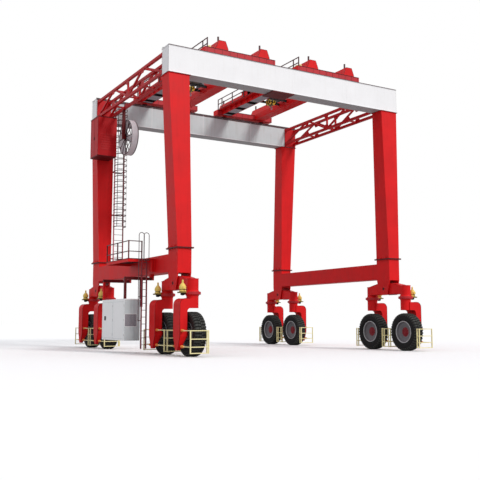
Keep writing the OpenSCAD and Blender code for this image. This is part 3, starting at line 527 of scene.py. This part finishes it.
for side, s in SIDES:
    for n in (1, 2, 3, 4):
        tyre(side, s, n)
        wheel_trim(side, s, n)
        fork_trim(side, s, n)
    for end, e in ENDS:
        motors(side, s, end, e)
        beam_trim(side, s, end, e)


# Portal

def band(p, x_in, x_out, y_in, y_out, z0, z1, skin, proud=0.003):
    """A thin band round the four sides of a block."""
    depth = 0.004
    p.box((x_in - proud, y_in - proud, z0), (x_out + proud, y_in + depth, z1), skin)
    p.box((x_in - proud, y_out - depth, z0), (x_out + proud, y_out + proud, z1), skin)
    p.box((x_in - proud, y_in, z0), (x_in + depth, y_out, z1), skin)
    p.box((x_out - depth, y_in, z0), (x_out + proud, y_out, z1), skin)


def leg_trim(side, s, end, e):
    """Bolts round the flanges at the leg's foot, dark flange edges with a dark sheet under the foot flange, a
    dark band round the head plate, and the pin's keeper plates. The dark bands and the sheet are painted
    shade.
    """
    p = Piece(SHIFT, 0.0, s)
    x_in, x_out = 6.3375 - 0.085, 7.1025 + 0.085
    y_in, y_out = sorted((e * 4.99, e * 6.25))
    # A dark band round the foot flange and a dark sheet under it: painted shade.
    band(p, x_in, x_out, y_in, y_out, 5.208, 5.272, 3)
    p.box((x_in, y_in, 5.2070), (x_out, y_out, 5.2098), 3)
    edge, corner = 0.042, 0.05
    wide, deep = x_out - x_in - 2 * corner, y_out - y_in - 2 * corner
    spots = []
    for i in range(7):
        y = y_in + corner + deep * i / 6
        spots += [(x_in + edge, y), (x_out - edge, y)]
    for i in range(1, 5):
        x = x_in + corner + wide * i / 5
        spots += [(x, y_in + edge), (x, y_out - edge)]
    for x, y in spots:
        p.bolt((x, y, 5.27), "z", 0.020, 1)
        p.bolt((x, y, 5.207), "z", 0.020, 1, down=True)
    for i in (1, 3, 5):
        y = y_in + corner + deep * (i + 0.5) / 6
        for root, tip in ((6.3377, x_in + 0.005), (7.1023, x_out - 0.005)):
            p.prism([(x, y + t, z) for t in (-0.008, 0.008)
                     for x, z in ((root, 5.27), (tip, 5.27), (root, 5.40))])
    head_in, head_out = sorted((e * 4.90, e * 5.82))
    # A dark band round the head plate: painted shade.
    band(p, 6.2875, 7.545, head_in, head_out, 14.079, 14.108, 3)
    for u, down in ((0.375, False), (-0.375, True)):
        p.turn((SIDE + u * 0.988, e * BASE, PIN), "x", [(0.075, 0), (0.075, 0.0002)], 32, 2)
        p.bolts((SIDE + u, e * BASE, PIN), "x", 0.16, circle(6, 0.5), 0.016, 1, down)
    p.make("leg_trim_%s_%s" % (side, end), "portal", RED, BOLT, BLACK, DARK_RED)


def girder_trim(end, e):
    """Rail heads, rail clips and the seams of the webs, with painted shade: dark strips on the top flange's
    edges and down the girders' end corners, a greyer inner web with a dark band at its top, and a grey
    underside.
    """
    p = Piece()
    rail = e * TRACK
    p.box((-7.52, rail - 0.0362, 15.5302), (7.52, rail + 0.0362, 15.5902))
    for i in range(31):
        x = -7.2 + i * 0.48
        for k in (-1, 1):
            p.box((x - 0.03, rail + k * 0.05 - 0.02, 15.53), (x + 0.03, rail + k * 0.05 + 0.02, 15.549), 1)
            p.bolt((x, rail + k * 0.058, 15.549), "z", 0.011, 1)
    for x in (-3.75, 0.0, 3.75):
        for y in (4.9598, 5.7602):
            p.box((x - 0.01, e * y - 0.003, 14.14), (x + 0.01, e * y + 0.003, 15.5), 2)
    low, high = sorted((e * 4.927, e * 5.793))
    # Dark strips on the top flange's edges: painted shade.
    for y in (low, high - 0.005):
        p.box((-7.527, y, 15.499), (7.527, y + 0.005, 15.531), 3)
    # Dark lines down the girders' end corners: painted shade.
    for y in (low + 0.036, high - 0.042):
        for x in (-7.528, 7.523):
            p.box((x, y, 14.145), (x + 0.005, y + 0.006, 15.50), 3)
    web = sorted((e * 4.957, e * 4.962))
    # The inner web in greyer paint with a dark band at its top: painted shade.
    p.box((-7.49, web[0], 14.142), (7.49, web[1], 15.42), 4)
    p.box((-7.49, web[0], 15.42), (7.49, web[1], 15.50), 3)
    # The underside in grey: painted shade.
    p.box((-7.52, low + 0.006, 14.1075), (7.52, high - 0.006, 14.1102), 5)
    p.make("girder_trim_" + end, "portal", RAIL, BOLT, PALE, RAILING, GREY_TRIM_AND_SHADE, UNDERSIDE_SHADE)


def truss_trim(side, s):
    """Gusset plates where the lacing meets the chords, in the trusses' darker red, which is painted shade."""
    p = Piece(SHIFT, 0.0, s)
    knot = 4.93 * 0.45
    gusset = ((-0.30, 0), (0.30, 0), (0.14, 0.26), (-0.14, 0.26))
    for x in (6.613, 7.425):
        for z, up in ((14.365, 1), (15.315, -1)):
            for y in (-knot, 0.0, knot):
                p.prism([(q, y + a, z + up * b) for q in (x, x + 0.012) for a, b in gusset])
    p.make("truss_trim_" + side, "portal", SHADED_RED)


for end, e in ENDS:
    girder_trim(end, e)
    for side, s in SIDES:
        leg_trim(side, s, end, e)
for side, s in SIDES:
    truss_trim(side, s)


# Trolleys, hooks and ropes

def trolley_trim(side, s):
    """Black wheels, panelled trucks, the openings under the first beam, posts and railing. The trucks' webs
    in a darker red and the black lining inside the openings are painted shade.
    """
    p = Piece(SHIFT + PAIR + s * TROLLEY)
    roller = [(0.06, -0.064), (0.19, -0.064), (0.2002, -0.058), (0.2002, 0.058), (0.19, 0.064), (0.06, 0.064)]
    cover = [(0.196, 0.066), (0.212, 0.068), (0.212, 0.084), (0.196, 0.09)]
    post = [(0.060, 0.0), (0.062, 0.0), (0.062, 0.03), (0.0515, 0.032), (0.0515, 0.2900), (0.044, 0.2902),
            (0.01, 0.2902)]
    # The webs take the darker side red (skin 5): painted shade.
    web, top, foot = (0.004, 15.690, 15.962, 5), (0.012, 15.962, 15.999, 1), (0.010, 15.664, 15.690, 1)
    for truck in (-1, 1):
        mid, y = truck * TRUCK_SHIFT, truck * TRACK
        for x in (mid - 1.485, mid + 1.485):
            p.turn((x, y, ROLLER), "y", roller, 48)
            p.turn((x, y, ROLLER), "y", cover, 48, close=True)
        for k in (-1, 1):
            edge = y + k * 0.30
            for deep, z0, z1, skin in (web, top, foot):
                y0, y1 = sorted((edge, edge + k * deep))
                p.box((mid - 2.180, y0, z0), (mid + 2.180, y1, z1), skin)
            y0, y1 = sorted((edge, edge + k * 0.010))
            for i in range(10):
                x = mid - 2.07 + i * 0.46
                p.box((x - 0.007, y0, 15.69), (x + 0.007, y1, 15.962), 1)
        face = truck * 5.3202
        for x in (-1.3, 1.3):
            p.turn((x - 0.1, y, 16.48), "z", post, 24, 3)
            p.line([(x + across, face, z) for across, z in ((-0.368, 16.05), (-0.2, 16.476), (0.2, 16.476),
                                                            (0.368, 16.05))], 0.009, 1)
    holes = (-3.68, -2.19, -0.70, 1.38, 2.87, 4.25)
    reach = 0.2395
    # Each opening is lined black inside: painted shade.
    for y in holes:
        p.box((-1.619, y - reach, 15.782), (-0.981, y + reach, 15.7895))
        for x0, x1 in ((-1.6195, -1.612), (-0.988, -0.9805)):
            p.box((x0, y - reach, 15.702), (x1, y + reach, 15.785))
        for y0 in (y - reach, y + 0.232):
            p.box((-1.619, y0, 15.702), (-0.981, y0 + 0.0075, 15.785))
    starts, stops = (-4.95,) + tuple(y + 0.245 for y in holes), tuple(y - 0.245 for y in holes) + (4.95,)
    for y0, y1 in zip(starts, stops):
        p.box((-1.62, y0, 15.697), (-0.98, y1, 15.7004), 6)
    for k in range(-6, 7):
        p.box((-1.7335, k * 0.7 - 0.017, 15.735), (-1.728, k * 0.7 + 0.017, 15.9995), 1)
    p.box((-1.9735, -4.852, 15.968), (-1.9685, 4.852, 16.002), 1)
    for y in (-4.82, -4.29, -2.874, -1.416, 0.0, 1.416, 2.874, 4.29, 4.82):
        p.box((-1.966, y - 0.026, 15.998), (-1.914, y + 0.026, 16.7205), 3)
    for z in (16.3588, 16.6738):
        p.box((-1.9612, -4.846, z), (-1.9188, 4.846, z + 0.0424), 3)
    for i in range(40):
        y = -4.75 + i * 0.2436
        p.box((-1.945, y - 0.05, 16.0), (-1.70, y + 0.05, 16.0035), 4)
    p.box((-1.905, 1.0, 15.999), (-1.665, 1.702, 16.4225), 2)
    p.box((-1.9085, 1.06, 16.06), (-1.905, 1.64, 16.38), 2)
    p.line([(-1.9060, 1.0, 16.4225), (-1.9060, 1.702, 16.4225), (-1.9060, 1.702, 16.0)], 0.006, 1)
    p.make("trolley_trim_" + side, "trolley_" + side, BLACK, DARK_RED, RED, RAILING, TREAD, SHADED_SIDE_RED, PANEL)


def hoist_detail(side, s):
    """Girts, a grooved drum with flanges and brake, and the finned drive motor on the ledge."""
    p = Piece(SHIFT + PAIR + s * TROLLEY)
    for y in (0.75, 1.65):
        p.box((-0.93, y - 0.05, 15.93), (0.93, y + 0.05, 15.944), 1)
        p.box((-0.93, y - 0.05, 16.046), (0.93, y + 0.05, 16.06), 1)
        p.box((-0.93, y - 0.008, 15.93), (0.93, y + 0.008, 16.06), 1)
        for i in range(9):
            x = -0.9 + i * 0.225
            p.box((x - 0.005, y - 0.046, 15.944), (x + 0.005, y + 0.046, 16.046), 1)
    stand = ((0.70, 16.06), (1.70, 16.06), (1.70, 16.10), (1.42, 16.36), (1.30, 16.39), (1.10, 16.39),
             (0.98, 16.36), (0.70, 16.10))
    for x, k in ((-0.7, -1), (0.7, 1)):
        p.prism([(x + t, y, z) for t in (-0.05, 0.05) for y, z in stand])
        hub = (x + k * 0.05, HOOK_Y, DRUM)
        p.turn(hub, "x", [(0.09, 0), (0.09, k * 0.02), (0.07, k * 0.03), (0.01, k * 0.03)], 28, 3)
        p.bolts(hub, "x", 0.075, circle(6), 0.008, 2, down=k < 0)
    outline = [(0.02, -0.65), (0.15, -0.65), (0.15, -0.62), (0.132, -0.615)]
    for i in range(60):
        x = -0.60 + i * 0.02
        outline += [(0.132, x), (0.139, x + 0.005), (0.139, x + 0.015)]
    outline += [(0.132, 0.615), (0.15, 0.62), (0.15, 0.65), (0.02, 0.65)]
    p.turn((0, HOOK_Y, DRUM), "x", outline, 32, 2)
    x, z = -1.78, 16.23
    drive = [(0.07, 0), (0.10, 0.012), (0.108, 0.05), (0.108, 0.17), (0.100, 0.175), (0.100, 0.80),
             (0.112, 0.81), (0.112, 0.87), (0.10, 0.88), (0.10, 0.99), (0.128, 1.00), (0.128, 1.25),
             (0.115, 1.258), (0.05, 1.26)]
    p.turn((x, -4.79, z), "y", drive, 32, 4)
    fin = 0.0028
    for across, up in circle(28):
        p.prism([(x + up * r - across * fin * k, y, z + across * r + up * fin * k)
                 for y in (-4.60, -4.00) for r, k in ((0.096, -1), (0.11, -1), (0.11, 1), (0.096, 1))], 4)
    for y in (-4.69, -3.99):
        p.box((x - 0.09, y, 16.0), (x + 0.09, y + 0.1, 16.02), 4)
        p.box((x - 0.06, y + 0.04, 16.02), (x + 0.06, y + 0.06, 16.16), 4)
        for k in (-0.07, 0.07):
            p.bolt((x + k, y + 0.05, 16.02), "z", 0.012, 2)
    p.box((x - 0.06, -4.5, z + 0.09), (x + 0.06, -4.3, z + 0.125), 4)
    obj = p.make("hoist_detail_" + side, "trolley_" + side, GREY, BLACK, BOLT, DARK_RED, CREAM)
    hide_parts("hoist_" + side)


def hook_trim(side, s):
    """Grooved sheaves, the pin's retainers and the shank's nut of a hook block."""
    p = Piece(SHIFT + PAIR + s * TROLLEY)
    sheave = [(0.06, -0.0305), (0.1508, -0.0305), (0.1508, -0.022), (0.136, -0.010), (0.134, 0.0),
              (0.136, 0.010), (0.1508, 0.022), (0.1508, 0.0305), (0.06, 0.0305)]
    nut = [(0.085, 0.012), (0.085, -0.012), (0.06, -0.04), (0.047, -0.045), (0.047, 0.012)]
    for x in (-SHEAVE_X, SHEAVE_X):
        p.turn((x, HOOK_Y, SHEAVE), "x", sheave, 48, close=True)
    for k in (-1, 1):
        cheek = k * 0.235
        retainer = [(0.055, 0), (0.055, k * 0.012), (0.045, k * 0.018), (0.005, k * 0.018)]
        p.turn((cheek, HOOK_Y, SHEAVE), "x", retainer, 28, 1)
        for y, z in ((1.04, 15.99), (1.36, 15.99), (1.04, 15.86), (1.36, 15.86)):
            p.bolt((cheek, y, z), "x", 0.011, 1, down=k < 0)
    p.turn((0, HOOK_Y, 15.71), "z", nut, 28, 1, close=True)
    p.make("hook_trim_" + side, "hook_" + side, BOLT, GREY)


def ropes(side, s):
    """Four falls of laid rope, six strands in each, from the drum down to the sheaves."""
    middle = SHIFT + PAIR + s * TROLLEY
    p = Piece(middle)
    rows, lobes, lay, radius, strand, strands, reach = 60, 24, 38, 0.0112, 0.0017, 6, 0.1633
    for x in (-SHEAVE_X, SHEAVE_X):
        for y in (HOOK_Y - reach, HOOK_Y + reach):
            points = []
            for i in range(rows + 1):
                z = SHEAVE + (DRUM - SHEAVE) * i / rows
                for k in range(lobes):
                    a = math.tau * k / lobes
                    r = radius + strand * math.cos(strands * a)
                    t = a + (z - SHEAVE) * lay
                    points.append((x + r * math.cos(t), y + r * math.sin(t), z))
            faces = []
            for low in range(0, rows * lobes, lobes):
                for k in range(lobes):
                    m = (k + 1) % lobes
                    faces.append((low + k, low + m, low + lobes + m, low + lobes + k))
            ends = [list(range(lobes)), list(range(rows * lobes, (rows + 1) * lobes))]
            p.add(points, faces + ends)
    obj = p.make("laid_ropes_" + side, None, ROPE, sharp=80)
    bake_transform(obj)
    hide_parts("ropes_" + side)


for side, s in SIDES:
    trolley_trim(side, s)
    hoist_detail(side, s)
    hook_trim(side, s)
    ropes(side, s)


# Platform, ladders, power unit, cabinet and reel on the left

def platform_trim():
    """Dark railings, toe boards and a tread pattern on the platform and its landing, and a black sheet under
    the deck, which is painted shade.
    """
    p = Piece(SHIFT, 0.0, -1)
    half = 0.0265
    for x, y in ((8.46, -3.22), (8.46, -1.655), (8.46, -0.09), (7.74, -3.22)):
        p.box((x - half, y - half, 4.861), (x + half, y + half, 5.7815), 1)
    for z in (5.1992, 5.7338):
        p.box((8.4385, -3.2215, z), (8.4815, -0.0885, z + 0.0424))
        p.box((7.7385, -3.2415, z), (8.4615, -3.1985, z + 0.0424))
    # A black sheet under the deck: painted shade.
    p.box((7.10, -3.19, 4.8165), (8.43, -0.12, 4.8201), 3)
    p.box((8.4855, -3.2515, 4.823), (8.4903, -0.0585, 4.862), 1)
    p.box((7.345, -3.2535, 4.823), (8.4903, -3.2485, 4.862), 1)
    for i in range(9):
        x = 7.16 + i * 0.145
        for j in range(20):
            step = j * 0.159
            p.box((x, -3.17 + step, 4.86), (7.26 + i * 0.145, -3.155 + step, 4.863), 2)
    for y in (-2.783, 0.367):
        p.box((6.95, y, 3.777), (8.483, y + 0.116, 3.933), 1)
    p.box((7.475, -2.785, 2.397), (7.6105, -2.645, 3.78), 1)
    p.box((8.366, -2.783, 2.801), (8.483, -2.667, 3.78), 1)
    p.box((6.597, 2.323, 12.477), (6.752, 2.477, 14.262), 1)
    p.make("platform_trim", "portal", RAILING, DARK_RED, TREAD, BLACK)


def ladder_trim():
    """Red stiles and brackets of the two ladders, whose rungs and hoops are dark. The caged ladder's outer
    stile is a lighter pink, which is painted light.
    """
    p = Piece(SHIFT, 0.0, -1)
    inner, outer, foot, head = 5.7125, 6.3125, 5.035, 15.28
    # The caged ladder's outer stile takes the pink (skin 1): painted light.
    for x, y, z0, z1, skin in ((inner, 4.75, foot, head, 0), (outer, 4.75, foot, head, 1),
                               (7.535, -3.4, 0.26, 4.86, 0), (7.805, -3.4, 0.26, 4.86, 0)):
        p.box((x - 0.0262, y - 0.0412, z0 - 0.001), (x + 0.0262, y + 0.0412, z1 + 0.001), skin)
    for k in (0.05, 0.36, 0.67, 0.98):
        z = foot + k * (13.86 - foot)
        for x in (inner, outer):
            p.box((x - 0.0095, 4.792, z - 0.0015), (x + 0.0095, 5.1965, z + 0.0615))
    p.make("ladder_trim", "portal", LADDER, PINK)


def unit_trim():
    """Door frames, hinges, a swing lock, darker grey end panels that are painted shade, and the wire mesh
    over the air inlets.
    """
    low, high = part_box("power_unit")
    p = Piece(0.0)
    face = low[0]
    span = (high[1] - low[1] - 0.08) / 2
    for k in (0, 1):
        y = low[1] + 0.03 + k * (span + 0.02)
        left, right, foot, head = y + 0.03, y + span - 0.03, 0.76, 2.66
        for y0, y1, z0, z1 in ((left, y + 0.04, foot, head), (y + span - 0.04, right, foot, head),
                               (left, right, foot, 0.77), (left, right, 2.65, head)):
            p.box((face - 0.004, y0, z0), (face + 0.001, y1, z1), 4)
        for z in (0.95, 1.7, 2.45):
            p.rod((face - 0.004, y + 0.02, z - 0.06), (face - 0.004, y + 0.02, z + 0.06), 0.006, 10, 2)
    p.box((face - 0.003, low[1] + 1.63, 0.70), (face + 0.001, low[1] + 1.67, 2.72))
    p.box((face - 0.007, -0.12, 1.70), (face + 0.001, 0.12, 1.92), 1)
    p.box((face - 0.0098, -0.018, 1.73), (face - 0.005, 0.018, 1.89), 1)
    x0, x1 = low[0] + 0.04, low[0] + 0.68
    wires = 15
    for y, k in ((low[1] + 0.009, -1), (high[1] - 0.009, 1)):
        wire = y + k * 0.006
        y0, y1 = sorted((y, wire))
        # A darker grey sheet over each end: painted shade.
        p.box((low[0] + 0.012, y - 0.0015, 0.665), (high[0] - 0.012, y + 0.0015, 2.745), 4)
        p.box((x0, y0, 1.39), (x1, y1, 2.01), 5)
        for i in range(wires + 1):
            x = x0 + 0.013 + i * (x1 - x0 - 0.026) / wires
            p.rod((x, wire, 1.40), (x, wire, 2.0), 0.003, 5, 3)
            z = 1.403 + i * 0.594 / wires
            p.rod((x0 + 0.01, wire, z), (x1 - 0.01, wire, z), 0.003, 5, 3)
        left, right = x0 - 0.02, x1 + 0.02
        for q0, q1, r0, r1 in ((left, right, 1.37, 1.392), (left, right, 2.008, 2.03),
                               (left, x0 + 0.002, 1.37, 2.03), (x1 - 0.002, right, 1.37, 2.03)):
            p.box((q0, y0, r0), (q1, y1, r1))
    for i in range(14):
        x = low[0] + 0.06 + (i % 2) * (high[0] - low[0] - 0.12)
        y = low[1] + 0.15 + (i // 2) * (high[1] - low[1] - 0.3) / 6
        p.bolt((x, y, high[2]), "z", 0.012, 2)
    p.make("unit_trim", "portal", UNIT, BLACK, BOLT, MESH, GREY_TRIM_AND_SHADE, PANEL)


def cabinet_trim():
    """Louvres, door seams, hinges and dark edges on the hung cabinet. Its darker red, the dark bands round
    its top and bottom and the dark sheet under it are painted shade.
    """
    low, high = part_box("control_cabinet")
    p = Piece(0.0)
    lip = 0.015
    x0, x1, y0, y1, z0, z1 = low[0] + lip, high[0] - lip, low[1] + lip, high[1] - lip, low[2], high[2]
    # Dark bands round the top and bottom edges: painted shade.
    band(p, low[0], high[0], low[1], high[1], z1 - 0.042, z1 - 0.001, 1, 0.002)
    band(p, x0, x1, y0, y1, z0 + 0.002, z0 + 0.035, 1, 0.004)
    # A dark sheet under the cabinet: painted shade.
    p.box((x0 + 0.01, y0 + 0.01, z0 - 0.002), (x1 - 0.01, y1 - 0.01, z0 + 0.001), 1)
    for i in range(7):
        z = z0 + 0.42 + i * 0.15
        louvre = ((y0 + 0.001, z), (y0 - 0.013, z - 0.012), (y0 + 0.001, z + 0.07))
        p.prism([(x, y, h) for x in (x0 + 0.16, x0 + 1.02) for y, h in louvre])
    for y in (y0 + 0.03, y0 + 0.66, y0 + 1.29):
        p.box((x0 - 0.005, y - 0.008, z0 + 0.05), (x0 + 0.001, y + 0.008, z1 - 0.08), 1)
    for z in (z0 + 0.05, z1 - 0.09):
        p.box((x0 - 0.005, y0 + 0.03, z), (x0 + 0.001, y0 + 1.29, z + 0.012), 1)
    for y in (y0 + 0.60, y0 + 0.72):
        p.box((x0 - 0.012, y - 0.012, z0 + 1.05), (x0 + 0.001, y + 0.012, z0 + 1.25), 2)
    for y in (y0 + 0.035, y0 + 1.285):
        for z in (z0 + 0.3, z0 + 1.2, z0 + 2.1):
            p.rod((x0 - 0.006, y, z - 0.05), (x0 - 0.006, y, z + 0.05), 0.007, 10, 2)
    p.make("cabinet_trim", "portal", SHADED_RED, DARK_RED, BLACK)


def reel_trim():
    """The dark spokes, thin rims and hub covers of the pale reel."""
    low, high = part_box("cable_reel")
    mid, half = (low[0] + high[0]) / 2, (high[0] - low[0]) / 2
    c = (mid, REEL_Y, REEL_Z)
    spoke = ((half - 0.009, -0.0185), (half - 0.041, -0.0185), (half - 0.041, 0.0185), (half - 0.009, 0.0185))
    p = Piece(0.0)
    for k in (-1, 1):
        edge, face, web = k * (half - (0.06 if k > 0 else 0.022)), k * half, k * (half - 0.045)
        p.turn(c, "x", [(1.024, face), (1.0510, face), (1.0510, edge), (1.024, edge)], 72, close=True)
        if k < 0:
            p.turn(c, "x", [(0.02, web), (0.2105, web), (0.2105, face), (0.065, face)], 36)
        else:
            p.turn(c, "x", [(0.07, web), (0.2105, web), (0.2105, face), (0.07, face)], 36, close=True)
        for across, up in circle(12):
            p.prism([(mid + k * x, REEL_Y + across * r - up * w, REEL_Z + up * r + across * w)
                     for r in (0.17, 1.036) for x, w in spoke])
        p.bolts((mid + face, REEL_Y, REEL_Z), "x", 0.17, circle(8), 0.014, 1, down=k < 0)
    p.make("reel_trim", "reel", REEL, BOLT)


platform_trim()
ladder_trim()
unit_trim()
cabinet_trim()
reel_trim()


# Floor and light

def floor():
    """A pale floor that the camera sees white, with grey shadows, and that throws back less light."""
    material, make, link = tree("studio_floor")
    out = make.new("ShaderNodeOutputMaterial")
    pick = make.new("ShaderNodeMixShader")
    path = make.new("ShaderNodeLightPath")
    for socket, albedo in ((1, 0.4), (2, 0.965)):
        matt = make.new("ShaderNodeBsdfDiffuse")
        matt.inputs["Color"].default_value = (albedo, albedo, albedo, 1)
        link.new(matt.outputs[0], pick.inputs[socket])
    link.new(path.outputs["Is Camera Ray"], pick.inputs[0])
    link.new(pick.outputs[0], out.inputs["Surface"])
    mesh = bpy.data.meshes.new("studio_floor")
    reach = 300
    corners = [(x * reach, y * reach, 0) for x, y in ((-1, -1), (1, -1), (1, 1), (-1, 1))]
    mesh.from_pydata(corners, [], [(0, 1, 2, 3)])
    mesh.materials.append(material)
    obj = bpy.data.objects.new("studio_floor", mesh)
    scene.collection.objects.link(obj)


def studio():
    """An even pale dome that lights the crane. The camera sees it plain white."""
    world = bpy.data.worlds.new("studio")
    world.use_nodes = True
    scene.world = world
    make, link = world.node_tree.nodes, world.node_tree.links
    make.clear()
    out = make.new("ShaderNodeOutputWorld")
    seen = make.new("ShaderNodeBackground")
    seen.inputs["Color"].default_value = (1, 1, 1, 1)
    seen.inputs["Strength"].default_value = 1
    light = make.new("ShaderNodeBackground")
    light.inputs["Color"].default_value = (0.95, 0.96, 1.0, 1)
    light.inputs["Strength"].default_value = 0.8
    pick = make.new("ShaderNodeMixShader")
    path = make.new("ShaderNodeLightPath")
    link.new(path.outputs["Is Camera Ray"], pick.inputs[0])
    link.new(light.outputs[0], pick.inputs[1])
    link.new(seen.outputs[0], pick.inputs[2])
    link.new(pick.outputs[0], out.inputs[0])


def sun(name, towards, strength, angle, colour):
    """A distant lamp that shines in the given direction. A wider angle, in degrees, softens its shadows."""
    data = bpy.data.lights.new(name, "SUN")
    data.energy = strength
    data.angle = math.radians(angle)
    data.color = colour
    obj = bpy.data.objects.new(name, data)
    scene.collection.objects.link(obj)
    obj.rotation_euler = Vector(towards).to_track_quat("-Z", "Y").to_euler()


floor()
studio()
sun("key_sun", (-0.28, 0.86, -0.62), 1.6, 14, (1, 0.985, 0.96))
